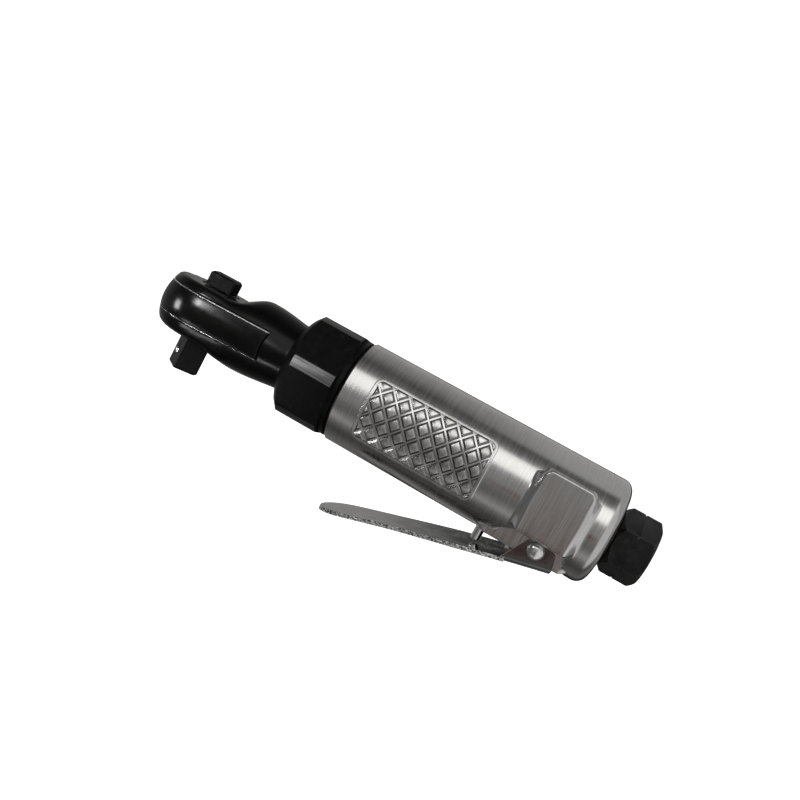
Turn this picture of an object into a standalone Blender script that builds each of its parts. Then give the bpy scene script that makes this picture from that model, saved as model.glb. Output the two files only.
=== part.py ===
"""Air ratchet: a lever-fed vane motor, a planetary gear stage, a crank and yoke, and a square drive.

Metres, +Z up. The origin is the centre of the square drive's end face. +X runs from the head
to the air inlet, and +Z from the drive to the reverse knob. Heights named z_ in the functions
below are measured from the motor's centreline, which every root piece has as its parent.
"""

import math

import bmesh
import bpy
from mathutils import Matrix, Vector

# ---- driving dimensions, in metres ----
ROUND, MEDIUM, SMALL = 28, 20, 12      # sides of round pieces, by their size
GAP = 0.0003                # left between two pieces that touch or run together
AXIS_Z = 0.0235             # height of the motor's centreline above the drive's end face

DRIVE_SIZE = 0.009525       # 3/8 inch square, across flats
DRIVE_TWIST = math.radians(36)
KNOB_TWIST = math.radians(8)
KNOB_SIZE = 0.0103
KNOB_LOW, KNOB_TOP = 0.0091, 0.0143
KNOB_STEM_R = 0.0023

HEAD_R = 0.0170             # plan radius of the head round the drive's axis
HEAD_TOP, HEAD_LOW = 0.0088, -0.0108
HEAD_TAPER = math.radians(7.65)
SLOT_TOP, SLOT_LOW = 0.0056, -0.0054
SLOT_R = 0.0305             # rear wall of the yoke's slot, an arc round the drive's axis
NECK_R = 0.0124
NECK_END = 0.0510
EAR_TOP_BORE, EAR_LOW_BORE = 0.0074, 0.0115

RATCHET_TEETH = 60
RATCHET_TIP_R, RATCHET_ROOT_R = 0.0112, 0.0118
ANVIL_R = 0.0106
ANVIL_JOURNAL_R = 0.0070
PAWL_PIN_X = 0.0066
PAWL_PIN_R = 0.0011
PAWL_TILT = math.radians(7)

CRANK_THROW = 0.0015
CRANK_PIN_R = 0.0016
CRANK_SHAFT_R = 0.0050
BEARING_BORE = 0.0053
CRANK_BUSH_R = 0.0028

GEAR_MODULE = 0.00066
SUN_TEETH = 12
PLANET_TEETH = 12
RING_TEETH = 36
PLANETS = 3
PLANET_ORBIT = GEAR_MODULE * (SUN_TEETH + PLANET_TEETH) / 2
PLANET_PIN_R = 0.0015
GEAR_X0, GEAR_X1 = 0.0550, 0.0618

NUT_FLATS = 0.0370          # across flats
NUT_CORNER = 0.0202         # from the centre to each blunted corner
NUT_TWIST = math.radians(-6)
NUT_X0, NUT_X1, NUT_COLLAR_X1 = 0.0370, 0.0573, 0.0592

HOUSING_X0, HOUSING_X1 = 0.0595, 0.1613
HOUSING_R0, HOUSING_R1 = 0.0190, 0.0194
HOUSING_BORE = 0.0155
CAVITY_X1 = 0.1120
BOSS_Y, BOSS_TOP = 0.0203, 0.0120
POCKET_CEILING = 0.0108     # depth of the lever pockets' ceiling below the centreline
TONGUE_Y, TONGUE_LOW = 0.0112, 0.0183

ROTOR_R, ROTOR_X0, ROTOR_X1 = 0.0107, 0.0721, 0.1045
ROTOR_SHAFT_R = 0.0027
VANES = 5
VANE_T, VANE_DEPTH = 0.0014, 0.0046
CYLINDER_R, CYLINDER_BORE, CYLINDER_OFFSET = 0.0151, 0.0122, 0.0012
DOWEL_Z, DOWEL_R = -0.0130, 0.0008

VALVE_X = 0.1228
VALVE_BORE = 0.0046
VALVE_BORE_TOP = 0.0065
STEM_R, STEM_LOW = 0.00175, -0.0244

LEVER_PIN_X, LEVER_PIN_Z, LEVER_PIN_R = 0.1422, -0.0147, 0.0016
LEVER_T = 0.0015
EAR_Y0, EAR_Y1 = 0.0115, 0.0130
BLADE_REAR_X, BLADE_REAR_Z = 0.1480, -0.01862
BLADE_SLOPE, BLADE_BEND = 0.2371, 0.53
BLADE_TIP_X = 0.0693

HEX_FLATS = 0.0214
HEX_TWIST = math.radians(1.7)
HEX_X0, HEX_X1 = 0.1625, 0.1760
INLET_R = 0.0057
INLET_FLOOR = 0.1605
EXHAUST_ORBIT, EXHAUST_R = 0.0126, 0.0013
EXHAUST_ANGLES = (30, 60, 120, 150)

MATERIALS = {
    "brushed_steel": ((0.60, 0.60, 0.58), 0.35, 1.0),
    "black_gloss": ((0.012, 0.012, 0.012), 0.22, 0.0),
    "black_oxide": ((0.020, 0.021, 0.022), 0.42, 0.6),
    "polished_steel": ((0.75, 0.75, 0.75), 0.10, 1.0),
    "machined_steel": ((0.45, 0.45, 0.45), 0.30, 1.0),
    "bronze": ((0.55, 0.38, 0.16), 0.35, 1.0),
    "vane_phenolic": ((0.25, 0.14, 0.07), 0.60, 0.0),
    "seal_rubber": ((0.02, 0.02, 0.02), 0.70, 0.0),
}


# ---- helpers ----
def clear_scene():
    for obj in list(bpy.data.objects):
        bpy.data.objects.remove(obj)


def material(name):
    found = bpy.data.materials.get(name)
    if found:
        return found
    colour, roughness, metallic = MATERIALS[name]
    made = bpy.data.materials.new(name)
    made.use_nodes = True
    shader = made.node_tree.nodes["Principled BSDF"]
    shader.inputs["Base Color"].default_value = (*colour, 1.0)
    shader.inputs["Roughness"].default_value = roughness
    shader.inputs["Metallic"].default_value = metallic
    return made


def empty(name, location, parent=None, twist=0.0):
    made = bpy.data.objects.new(name, None)
    made.location = location
    made.rotation_euler.z = twist
    made.parent = parent
    bpy.context.scene.collection.objects.link(made)
    return made


def finish_mesh(name, bm, look, parent, location=(0, 0, 0), smooth=True):
    """One object from a closed bmesh, its faces turned outwards."""
    bmesh.ops.recalc_face_normals(bm, faces=bm.faces)
    mesh = bpy.data.meshes.new(name)
    bm.to_mesh(mesh)
    bm.free()
    if smooth:
        mesh.shade_smooth()
        mesh.set_sharp_from_angle(angle=math.radians(35))
    mesh.materials.append(material(look))
    made = bpy.data.objects.new(name, mesh)
    made.location = location
    made.parent = parent
    bpy.context.scene.collection.objects.link(made)
    return made


def cutter(name, bm, parent, location=(0, 0, 0)):
    made = finish_mesh(name, bm, "machined_steel", parent, location, smooth=False)
    made.hide_render = True
    made.display_type = "WIRE"
    return made


def combine(obj, other, operation="DIFFERENCE"):
    modifier = obj.modifiers.new(other.name, "BOOLEAN")
    modifier.operation = operation
    modifier.object = other


def on_axis(axis, u, v, w):
    """A point from two coordinates across an axis, u and v, and one along it, w."""
    if axis == "X":
        return Vector((w, u, v))
    if axis == "Y":
        return Vector((u, w, v))
    return Vector((u, v, w))


def add_turned(bm, profile, segments, axis="X", centre=(0, 0)):
    """Adds a body turned round an axis from a loop of (along, radius) points.

    A loop whose ends lie on the axis makes a solid, and any other loop makes a ring.
    """
    rings = []
    for along, radius in profile:
        if radius == 0:
            rings.append([bm.verts.new(on_axis(axis, centre[0], centre[1], along))])
            continue
        ring = []
        for step in range(segments):
            turn = 2 * math.pi * step / segments
            u = centre[0] + radius * math.cos(turn)
            v = centre[1] + radius * math.sin(turn)
            ring.append(bm.verts.new(on_axis(axis, u, v, along)))
        rings.append(ring)
    pairs = list(zip(rings, rings[1:] + rings[:1]))
    for first, second in pairs:
        if len(first) == 1 and len(second) == 1:
            continue
        for step in range(segments):
            after = (step + 1) % segments
            corners = [first[step % len(first)], first[after % len(first)],
                       second[after % len(second)], second[step % len(second)]]
            bm.faces.new(list(dict.fromkeys(corners)))


def turned(profile, segments, axis="X", centre=(0, 0)):
    bm = bmesh.new()
    add_turned(bm, profile, segments, axis, centre)
    return bm


def rod(low, high, radius, segments, axis="X", centre=(0, 0)):
    return turned([(low, 0), (low, radius), (high, radius), (high, 0)], segments, axis, centre)


def tube(low, high, inner, outer, segments, axis="X", centre=(0, 0)):
    profile = [(low, inner), (low, outer), (high, outer), (high, inner)]
    return turned(profile, segments, axis, centre)


def prism(outline, low, high, axis="Z", holes=()):
    """A flat outline, with any holes, extruded along an axis."""
    bm = bmesh.new()
    for loop in (outline, *holes):
        points = [bm.verts.new(on_axis(axis, u, v, low)) for u, v in loop]
        for first, second in zip(points, points[1:] + points[:1]):
            bm.edges.new((first, second))
    bmesh.ops.triangle_fill(bm, use_beauty=True, edges=bm.edges[:])
    grown = bmesh.ops.extrude_face_region(bm, geom=bm.faces[:])
    moved = [item for item in grown["geom"] if isinstance(item, bmesh.types.BMVert)]
    bmesh.ops.translate(bm, verts=moved, vec=on_axis(axis, 0, 0, high - low))
    return bm


def loft(sections):
    """A closed body through cross-sections that have the same number of points."""
    bm = bmesh.new()
    rings = [[bm.verts.new(point) for point in section] for section in sections]
    for first, second in zip(rings, rings[1:]):
        for here, point in enumerate(first):
            after = (here + 1) % len(first)
            bm.faces.new((point, first[after], second[after], second[here]))
    bm.faces.new(rings[0])
    bm.faces.new(rings[-1])
    return bm


def circle(radius, segments, centre=(0, 0)):
    steps = (2 * math.pi * step / segments for step in range(segments))
    return [(centre[0] + radius * math.cos(a), centre[1] + radius * math.sin(a)) for a in steps]


def arc(centre, radius, start, end, steps):
    """Points along an arc, angles in radians."""
    turns = (start + (end - start) * step / steps for step in range(steps + 1))
    return [(centre[0] + radius * math.cos(a), centre[1] + radius * math.sin(a)) for a in turns]


def gear_outline(teeth, root, tip, root_share, tip_share, phase=0.0):
    """A toothed ring. The shares are the tooth's width at root and tip over the tooth pitch."""
    points = []
    pitch = 2 * math.pi / teeth
    for tooth in range(teeth):
        middle = phase + pitch * tooth
        for radius, offset in ((root, -root_share), (tip, -tip_share),
                               (tip, tip_share), (root, root_share)):
            turn = middle + offset * pitch / 2
            points.append((radius * math.cos(turn), radius * math.sin(turn)))
    return points


def coil(radius, wire, low, high, turns, steps, sides):
    """A helical spring along Z, from its lower wire centre to its upper one."""
    sections = []
    for step in range(turns * steps + 1):
        turn = 2 * math.pi * step / steps
        height = low + (high - low) * step / (turns * steps)
        section = []
        for side in range(sides):
            angle = 2 * math.pi * side / sides
            reach = radius + wire * math.cos(angle)
            section.append((reach * math.cos(turn), reach * math.sin(turn),
                            height + wire * math.sin(angle)))
        sections.append(section)
    return loft(sections)


def blend(value, start, end):
    """0 before start, 1 after end, and a smooth rise between."""
    share = min(1.0, max(0.0, (value - start) / (end - start)))
    return share * share * (3 - 2 * share)


def between(value, table):
    """Reads a value from a table of (position, value) pairs, straight between its rows."""
    for (x0, y0), (x1, y1) in zip(table, table[1:]):
        if value <= x1:
            return y0 + (y1 - y0) * max(0.0, value - x0) / (x1 - x0)
    return table[-1][1]


# ---- motor housing ----
HOUSING_STATIONS = (
    0.0595, 0.0606, 0.1190, 0.1222, 0.1245, 0.1270, 0.1305, 0.1330, 0.1345, 0.1504, 0.1510,
    0.1518, 0.1535, 0.1573, 0.1593, 0.1607, 0.1613,
)
HOUSING_ANGLES = (
    -90, -78, -67, -58.5, -54, -43.95, -35, -28, -14, 0, 15, 30.6, 38.5, 51, 64, 77, 90,
)
POCKET_ROOF = (
    (0.1243, 0.0194), (0.1262, 0.0160), (0.1290, 0.0130), (0.1345, POCKET_CEILING),
    (0.1510, POCKET_CEILING), (0.1516, 0.0125), (0.1520, 0.0250),
)
FRONT_EDGE, REAR_EDGE = 0.0011, 0.0040


def barrel_radius(x):
    """The round body of the housing: a slight taper, a chamfered front and a rounded rear."""
    share = (x - HOUSING_X0) / (HOUSING_X1 - HOUSING_X0)
    radius = HOUSING_R0 + (HOUSING_R1 - HOUSING_R0) * share
    if x < HOUSING_X0 + FRONT_EDGE:
        radius -= FRONT_EDGE - (x - HOUSING_X0)
    past = x - (HOUSING_X1 - REAR_EDGE)
    if past > 0:
        radius -= REAR_EDGE - math.sqrt(max(0.0, REAR_EDGE ** 2 - past ** 2))
    return radius


def housing_radius(x, angle):
    """Radius of the housing's skin at an angle above the side, the same on both sides."""
    across = max(1e-6, math.cos(angle))
    up = max(1e-6, abs(math.sin(angle)))
    round_r = barrel_radius(x)
    limit = BOSS_TOP if angle > 0 else POCKET_CEILING
    boss = min(BOSS_Y / across, limit / up)
    boss_share = blend(x, 0.1297, 0.1333) * (1 - blend(x, 0.1502, 0.1535))
    radius = round_r + boss_share * max(0.0, boss - round_r)
    if angle >= 0:
        return radius
    tongue = min(TONGUE_Y / across, TONGUE_LOW / up)
    if tongue > round_r or TONGUE_Y / across > TONGUE_LOW / up:
        tongue_share = blend(x, 0.1190, 0.1245) * (1 - blend(x, 0.1518, 0.1555))
        radius = max(radius, round_r) * (1 - tongue_share) + tongue * tongue_share
    if POCKET_ROOF[0][0] < x < POCKET_ROOF[-1][0]:
        roof = between(x, POCKET_ROOF)
        radius = min(radius, max(roof / up, TONGUE_Y / across))
    return radius


def housing_sections():
    turns = [math.radians(a) for a in HOUSING_ANGLES]
    sections = []
    for x in HOUSING_STATIONS:
        radii = [housing_radius(x, turn) for turn in turns]
        right = [(x, r * math.cos(a), r * math.sin(a)) for r, a in zip(radii, turns)]
        left = [(px, -py, pz) for px, py, pz in reversed(right[1:-1])]
        sections.append(right + left)
    return sections


def motor_housing(axis):
    body = finish_mesh("motor_housing", loft(housing_sections()), "brushed_steel", axis)
    motor_bore = [(0.058, 0), (0.058, 0.0163), (0.0662, 0.0163), (0.0662, HOUSING_BORE),
                  (CAVITY_X1, HOUSING_BORE), (CAVITY_X1, 0)]
    combine(body, cutter("cut_motor_bore", turned(motor_bore, ROUND), axis))
    inlet_bore = [(VALVE_X, 0), (VALVE_X, 0.0032), (0.1470, 0.0032), (0.1470, 0.0081),
                  (0.1630, 0.0081), (0.1630, 0)]
    combine(body, cutter("cut_inlet_bore", turned(inlet_bore, MEDIUM), axis))
    valve_bore = rod(-0.0250, VALVE_BORE_TOP, VALVE_BORE, MEDIUM, "Z", (VALVE_X, 0))
    combine(body, cutter("cut_valve_bore", valve_bore, axis))
    outlet = rod(0.1110, VALVE_X, 0.0014, 8, "X", (0, -0.0120))
    combine(body, cutter("cut_outlet", outlet, axis))
    pin_hole = rod(-0.0130, 0.0130, LEVER_PIN_R + GAP, SMALL, "Y", (LEVER_PIN_X, LEVER_PIN_Z))
    combine(body, cutter("cut_lever_pin", pin_hole, axis))
    for place in EXHAUST_ANGLES:
        turn = math.radians(place)
        centre = (EXHAUST_ORBIT * math.cos(turn), EXHAUST_ORBIT * math.sin(turn))
        hole = rod(0.1110, 0.1630, EXHAUST_R, 8, "X", centre)
        combine(body, cutter(f"cut_exhaust_{place}", hole, axis))


# ---- clamp nut ----
def blunted_hexagon():
    """Six flats whose corners are cut off square, each by a narrow flat."""
    half = math.radians(30)
    side = (NUT_FLATS / 2 - NUT_CORNER * math.cos(half)) / math.sin(half)
    points = []
    for corner in range(6):
        turn = NUT_TWIST + corner * math.radians(60)
        for offset in (-side, side):
            points.append((NUT_CORNER * math.cos(turn) - offset * math.sin(turn),
                           NUT_CORNER * math.sin(turn) + offset * math.cos(turn)))
    return points


def clamp_nut(axis):
    body = finish_mesh("clamp_nut", prism(blunted_hexagon(), NUT_X0, NUT_X1, "X"),
                       "black_oxide", axis)
    ends = [(NUT_X0 - 0.001, 0), (NUT_X0 - 0.001, 0.0132), (NUT_X0, 0.0146), (0.0400, 0.0186),
            (0.0416, 0.0210), (0.0566, 0.0210), (NUT_X1, 0.0196), (NUT_X1 + 0.001, 0.0182),
            (NUT_X1 + 0.001, 0)]
    combine(body, cutter("cut_nut_ends", turned(ends, ROUND), axis), "INTERSECT")
    collar = [(NUT_X1 - 0.004, 0), (NUT_X1 - 0.004, 0.0178), (NUT_COLLAR_X1, 0.0178),
              (NUT_COLLAR_X1, 0.0160), (0.0655, 0.0160), (0.0655, 0)]
    combine(body, cutter("add_nut_collar", turned(collar, ROUND), axis), "UNION")
    bore = [(0.035, 0), (0.035, 0.0129), (0.0450, 0.0129), (0.0450, 0.0146),
            (0.0670, 0.0146), (0.0670, 0)]
    combine(body, cutter("cut_nut_bore", turned(bore, ROUND), axis))


# ---- ratchet head ----
HEAD_HEIGHTS = (             # x, top, bottom, share of the section that is rounded
    (0.0000, HEAD_TOP, HEAD_LOW, 0.0), (0.0060, HEAD_TOP, HEAD_LOW, 0.0),
    (0.0090, 0.0090, -0.0120, 0.25), (0.0120, 0.0100, -0.0136, 0.5),
    (0.0150, 0.0122, -0.0144, 0.75), (0.0185, 0.0141, -0.0145, 1.0),
    (0.0230, 0.0141, -0.0142, 1.0), (0.0280, 0.0136, -0.0136, 1.0),
    (0.0365, NECK_R, -NECK_R, 1.0),
)
HEAD_EDGE_Y, HEAD_EDGE_Z = 0.0040, 0.0050
SECTION_STEPS = 5
YOKE_CROWN = 0.0010


def rounded_section(x, half_width, top, low, edge_y, edge_z):
    """A rectangle across X whose corners are quarter ellipses."""
    corners = ((1, 1, 0), (-1, 1, 90), (-1, -1, 180), (1, -1, 270))
    points = []
    for side, way, start in corners:
        centre_y = side * (half_width - edge_y)
        centre_z = top - edge_z if way > 0 else low + edge_z
        for step in range(SECTION_STEPS + 1):
            turn = math.radians(start + 90 * step / SECTION_STEPS)
            points.append((x, centre_y + edge_y * math.cos(turn),
                           centre_z + edge_z * math.sin(turn)))
    return points


def head_sections():
    sections = []
    shrink = 0.9999
    for degrees in (5, 12, 20, 29, 39, 50, 63, 77):
        turn = math.radians(degrees)
        x = -HEAD_R * math.cos(turn)
        half = HEAD_R * math.sin(turn)
        past = max(0.0, HEAD_EDGE_Y - HEAD_R - x) / HEAD_EDGE_Y
        drop = HEAD_EDGE_Z * (1 - math.sqrt(max(0.0, 1 - past ** 2)))
        edge_y = min(HEAD_EDGE_Y, half) * shrink
        edge_z = edge_y * HEAD_EDGE_Z / HEAD_EDGE_Y
        sections.append(rounded_section(x, half, HEAD_TOP - drop, HEAD_LOW + drop, edge_y, edge_z))
    for x, top, low, share in HEAD_HEIGHTS:
        half = HEAD_R / math.cos(HEAD_TAPER) - x * math.tan(HEAD_TAPER)
        half = half if x < 0.030 else NECK_R
        round_z = (top - low) / 2 * shrink
        edge_y = HEAD_EDGE_Y + (half * shrink - HEAD_EDGE_Y) * share
        edge_z = HEAD_EDGE_Z + (round_z - HEAD_EDGE_Z) * share
        sections.append(rounded_section(x, half, top, low, edge_y, edge_z))
    for x, radius in ((0.0453, NECK_R), (0.0454, 0.0142), (NECK_END, 0.0142)):
        edge = radius * shrink
        sections.append(rounded_section(x, radius, radius, -radius, edge, edge))
    return sections


def ratchet_housing(axis):
    body = finish_mesh("ratchet_housing", loft(head_sections()), "black_gloss", axis)
    slot = rod(SLOT_LOW, SLOT_TOP, SLOT_R, 48, "Z")
    combine(body, cutter("cut_yoke_slot", slot, axis))
    top_bore = rod(SLOT_TOP - 0.002, HEAD_TOP + 0.002, EAR_TOP_BORE, ROUND, "Z")
    combine(body, cutter("cut_top_bore", top_bore, axis))
    low_bore = rod(HEAD_LOW - 0.002, SLOT_LOW + 0.002, EAR_LOW_BORE, ROUND, "Z")
    combine(body, cutter("cut_low_bore", low_bore, axis))
    shaft_bore = [(0.0270, 0), (0.0270, BEARING_BORE), (0.0330, BEARING_BORE), (0.0330, 0.0075),
                  (0.0520, 0.0075), (0.0520, 0)]
    combine(body, cutter("cut_shaft_bore", turned(shaft_bore, MEDIUM), axis))


def yoke_outline(crown):
    """A nose round the drive, tapering sides, an arc-shaped tail and an open fork for the crank."""
    radius = HEAD_R - 0.0001 + crown
    tail = SLOT_R - 0.0004
    tail_side, fork, fork_x = 0.0125, 0.0064, 0.0190
    end_x = math.sqrt(tail ** 2 - tail_side ** 2)
    start = math.pi / 2 - HEAD_TAPER
    points = arc((0, 0), radius, start, 2 * math.pi - start, 24)
    points.append((end_x, -tail_side))
    wall = math.sqrt(tail ** 2 - fork ** 2)
    points += arc((0, 0), tail, -math.asin(tail_side / tail), -math.asin(fork / tail), 3)[1:]
    points += [(fork_x + 0.0008, -fork), (fork_x, 0.0008 - fork)]
    points += [(fork_x, fork - 0.0008), (fork_x + 0.0008, fork), (wall, fork)]
    points += arc((0, 0), tail, math.asin(fork / tail), math.asin(tail_side / tail), 3)[1:]
    return points


def ratchet_teeth():
    pitch = 2 * math.pi / RATCHET_TEETH
    points = []
    for tooth in range(RATCHET_TEETH):
        for radius, offset in ((RATCHET_TIP_R, 0.0), (RATCHET_ROOT_R, 0.5)):
            turn = pitch * (tooth + offset)
            points.append((radius * math.cos(turn), radius * math.sin(turn)))
    return points


def ratchet_yoke(drive):
    """The nose bulges to a crown half way up."""
    low, high = SLOT_LOW + GAP, SLOT_TOP - GAP
    sections = []
    for level in (-1.0, -0.6, 0.0, 0.6, 1.0):
        z = (low + high) / 2 + level * (high - low) / 2
        outline = yoke_outline(YOKE_CROWN * (1 - level * level))
        sections.append([(x, y, z) for x, y in outline])
    body = finish_mesh("ratchet_yoke", loft(sections), "black_gloss", drive)
    teeth = prism(ratchet_teeth(), low - 0.001, high + 0.001)
    combine(body, cutter("cut_ratchet_teeth", teeth, drive))


# ---- drive anvil, pawl and reverse knob ----
ANVIL_LOW, ANVIL_TOP = -0.0066, 0.0052
POCKET_LOW, POCKET_TOP = -0.0043, 0.0044
STEM_BORE_LOW = -0.0030
DETENT_Z = -0.0176
DETENT_R = 0.0016
DETENT_REACH = 0.0039


def square_shank(low, high):
    half = DRIVE_SIZE / 2
    chamfer, edge = 0.0007, 0.0006

    def outline(reach, z):
        corner = []
        for side, way in ((1, 1), (-1, 1), (-1, -1), (1, -1)):
            first = (side * reach, way * (reach - edge), z)
            second = (side * (reach - edge), way * reach, z)
            corner += [first, second] if side == way else [second, first]
        return corner

    return loft([outline(half - chamfer, low), outline(half, low + chamfer), outline(half, high)])


def drive_anvil(twisted):
    profile = [(-0.0105, 0), (-0.0105, ANVIL_JOURNAL_R), (ANVIL_LOW, ANVIL_JOURNAL_R),
               (ANVIL_LOW, ANVIL_R), (ANVIL_TOP, ANVIL_R), (ANVIL_TOP, ANVIL_JOURNAL_R),
               (HEAD_TOP - 0.0002, ANVIL_JOURNAL_R), (HEAD_TOP - 0.0002, 0)]
    body = finish_mesh("drive_anvil", turned(profile, ROUND, "Z"), "black_oxide", twisted)
    square = cutter("add_square", square_shank(-AXIS_Z, -0.0095), twisted)
    combine(body, square, "UNION")
    pocket = prism([(0.0015, -0.0046), (0.0120, -0.0046), (0.0120, 0.0046), (0.0015, 0.0046)],
                   POCKET_LOW, POCKET_TOP)
    combine(body, cutter("cut_pawl_pocket", pocket, twisted))
    stem_bore = rod(STEM_BORE_LOW, 0.0100, KNOB_STEM_R + GAP, 14, "Z")
    combine(body, cutter("cut_stem_bore", stem_bore, twisted))
    pin_bore = rod(-0.0058, 0.0060, PAWL_PIN_R + GAP, SMALL, "Z", (PAWL_PIN_X, 0))
    combine(body, cutter("cut_pawl_pin", pin_bore, twisted))
    detent_bore = rod(-0.0060, 0.0015, DETENT_R + GAP, SMALL, "X", (0, DETENT_Z))
    combine(body, cutter("cut_detent", detent_bore, twisted))


def pawl_outline():
    """A double-ended pawl round its pin, both tips level with each other."""
    tip_r, tip_y = 0.0102, 0.0037
    tip_x = math.sqrt(tip_r ** 2 - tip_y ** 2) - PAWL_PIN_X
    nose = 0.0100 - PAWL_PIN_X
    return [(tip_x, -tip_y), (nose, -0.0012), (nose, 0.0012), (tip_x, tip_y),
            (tip_x - 0.0016, tip_y), (-0.0009, 0.0023), (-0.0015, 0.0),
            (-0.0009, -0.0023), (tip_x - 0.0016, -tip_y)]


def pawl_and_pin(twisted):
    pivot = empty("pawl_pivot", (PAWL_PIN_X, 0, 0), twisted, -PAWL_TILT)
    hole = circle(PAWL_PIN_R + GAP, SMALL)
    body = prism(pawl_outline(), POCKET_LOW + GAP, POCKET_TOP - GAP, "Z", [hole])
    finish_mesh("ratchet_pawl", body, "machined_steel", pivot)
    pin = rod(-0.0055, 0.0049, PAWL_PIN_R, SMALL, "Z", (PAWL_PIN_X, 0))
    finish_mesh("pawl_pin", pin, "machined_steel", twisted)


def detent(twisted):
    steps = 6
    profile = [(-DETENT_R * math.cos(math.pi * s / steps), DETENT_R * math.sin(math.pi * s / steps))
               for s in range(steps + 1)]
    profile[0] = (-DETENT_R, 0)
    profile[-1] = (DETENT_R, 0)
    finish_mesh("detent_ball", turned(profile, SMALL, "X"), "polished_steel", twisted,
                (-DETENT_REACH, 0, DETENT_Z))
    spring = coil(0.0010, 0.00022, -0.0010, 0.0010, 3, 8, 4)
    bmesh.ops.rotate(spring, cent=(0, 0, 0), matrix=Matrix.Rotation(math.radians(90), 3, "Y"),
                     verts=spring.verts)
    finish_mesh("detent_spring", spring, "machined_steel", twisted, (0.0001, 0, DETENT_Z))


def reverse_knob(drive):
    turned_to = empty("knob_axis", (0, 0, 0), drive, KNOB_TWIST)
    half, edge = KNOB_SIZE / 2, 0.0009

    def outline(reach, z):
        loop = []
        for quarter in range(4):
            start = quarter * math.pi / 2
            centre = (reach - edge) * math.sqrt(2)
            middle = start + math.pi / 4
            corner = (centre * math.cos(middle), centre * math.sin(middle))
            loop += [(u, v, z) for u, v in arc(corner, edge, start, start + math.pi / 2, 2)]
        return loop

    block = loft([outline(half, KNOB_LOW), outline(half, KNOB_TOP - 0.0007),
                  outline(half - 0.0007, KNOB_TOP)])
    body = finish_mesh("reverse_knob", block, "black_oxide", turned_to)
    stem = rod(STEM_BORE_LOW + GAP, KNOB_LOW + 0.0015, KNOB_STEM_R, 14, "Z")
    combine(body, cutter("add_stem", stem, turned_to), "UNION")
    cross = rod(-0.0010, 0.0030, 0.0011, 8, "X")
    combine(body, cutter("cut_plunger_hole", cross, turned_to))
    tip = [(-0.0007, 0), (-0.0007, 0.0008), (0.0038, 0.0008), (0.0043, 0.0004), (0.0043, 0)]
    finish_mesh("reverse_plunger", turned(tip, 8, "X"), "machined_steel", turned_to)


def head_rings(axis):
    washer = tube(-0.0083, ANVIL_LOW - GAP, ANVIL_JOURNAL_R + GAP, EAR_LOW_BORE - GAP, ROUND, "Z")
    finish_mesh("thrust_washer", washer, "bronze", axis)
    ring = tube(-0.0098, -0.0086, 0.0086, EAR_LOW_BORE - GAP, ROUND, "Z")
    finish_mesh("retaining_ring", ring, "machined_steel", axis)


# ---- crank and planetary gears ----
def crank_shaft(carrier):
    profile = [(0.0310, 0), (0.0310, CRANK_SHAFT_R), (0.0519, CRANK_SHAFT_R), (0.0519, 0.0107),
               (0.0546, 0.0107), (0.0546, 0)]
    body = finish_mesh("crank_shaft", turned(profile, MEDIUM), "machined_steel", carrier)
    pin = rod(0.0200, 0.0320, CRANK_PIN_R, 11, "X", (0, CRANK_THROW))
    combine(body, cutter("add_crank_pin", pin, carrier), "UNION")
    for planet in range(PLANETS):
        hole = rod(0.0500, 0.0560, PLANET_PIN_R + GAP, 11, "X", planet_centre(planet))
        combine(body, cutter(f"cut_planet_pin_{planet + 1}", hole, carrier))
    bush = tube(0.0203, 0.0296, CRANK_PIN_R + GAP, CRANK_BUSH_R, 12, "X", (0, CRANK_THROW))
    finish_mesh("crank_bushing", bush, "bronze", carrier)


def planet_centre(planet):
    turn = math.radians(90) + 2 * math.pi * planet / PLANETS
    return (PLANET_ORBIT * math.cos(turn), PLANET_ORBIT * math.sin(turn))


def pitch_radius(teeth):
    return GEAR_MODULE * teeth / 2


def planets(carrier):
    """Three planets in mesh: a gap of each faces the sun's tooth on the line of centres."""
    root = pitch_radius(PLANET_TEETH) - 1.2 * GEAR_MODULE
    tip = pitch_radius(PLANET_TEETH) + 0.75 * GEAR_MODULE
    for planet in range(PLANETS):
        y, z = planet_centre(planet)
        pin = rod(0.0522, 0.0621, PLANET_PIN_R, SMALL, "X", (y, z))
        finish_mesh(f"planet_pin_{planet + 1}", pin, "machined_steel", carrier)
        facing = math.atan2(-z, -y)
        half_pitch = math.pi / PLANET_TEETH
        outline = gear_outline(PLANET_TEETH, root, tip, 0.60, 0.20, facing + half_pitch)
        body = prism(outline, GEAR_X0, GEAR_X1, "X", [circle(PLANET_PIN_R + GAP, SMALL)])
        finish_mesh(f"planet_gear_{planet + 1}", body, "machined_steel", carrier, (0, y, z))


def ring_gear(axis):
    """Internal teeth, with a gap on the outer side of each planet's gap-facing line."""
    tip = pitch_radius(RING_TEETH) - 0.75 * GEAR_MODULE
    root = pitch_radius(RING_TEETH) + 1.1 * GEAR_MODULE
    teeth = gear_outline(RING_TEETH, root, tip, 0.60, 0.20, ring_phase())
    body = prism(circle(0.0143, ROUND), 0.0513, 0.0632, "X", [teeth])
    finish_mesh("ring_gear", body, "machined_steel", axis)


def ring_phase():
    """The planets have an even number of teeth, so a gap faces outwards as well as inwards."""
    return math.radians(90)


def rotor_outline():
    """The rotor's section: a round body with slots for the vanes."""
    half, floor = VANE_T / 2 + GAP, ROTOR_R - VANE_DEPTH - GAP - 0.0004
    edge = math.asin(half / ROTOR_R)
    points = []
    for vane in range(VANES):
        turn = 2 * math.pi * vane / VANES
        after = turn + 2 * math.pi / VANES
        for reach, offset in ((floor, -half), (floor, half)):
            points.append((reach * math.cos(turn) - offset * math.sin(turn),
                           reach * math.sin(turn) + offset * math.cos(turn)))
        points += arc((0, 0), ROTOR_R, turn + edge, after - edge, 5)
    return points


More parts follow.
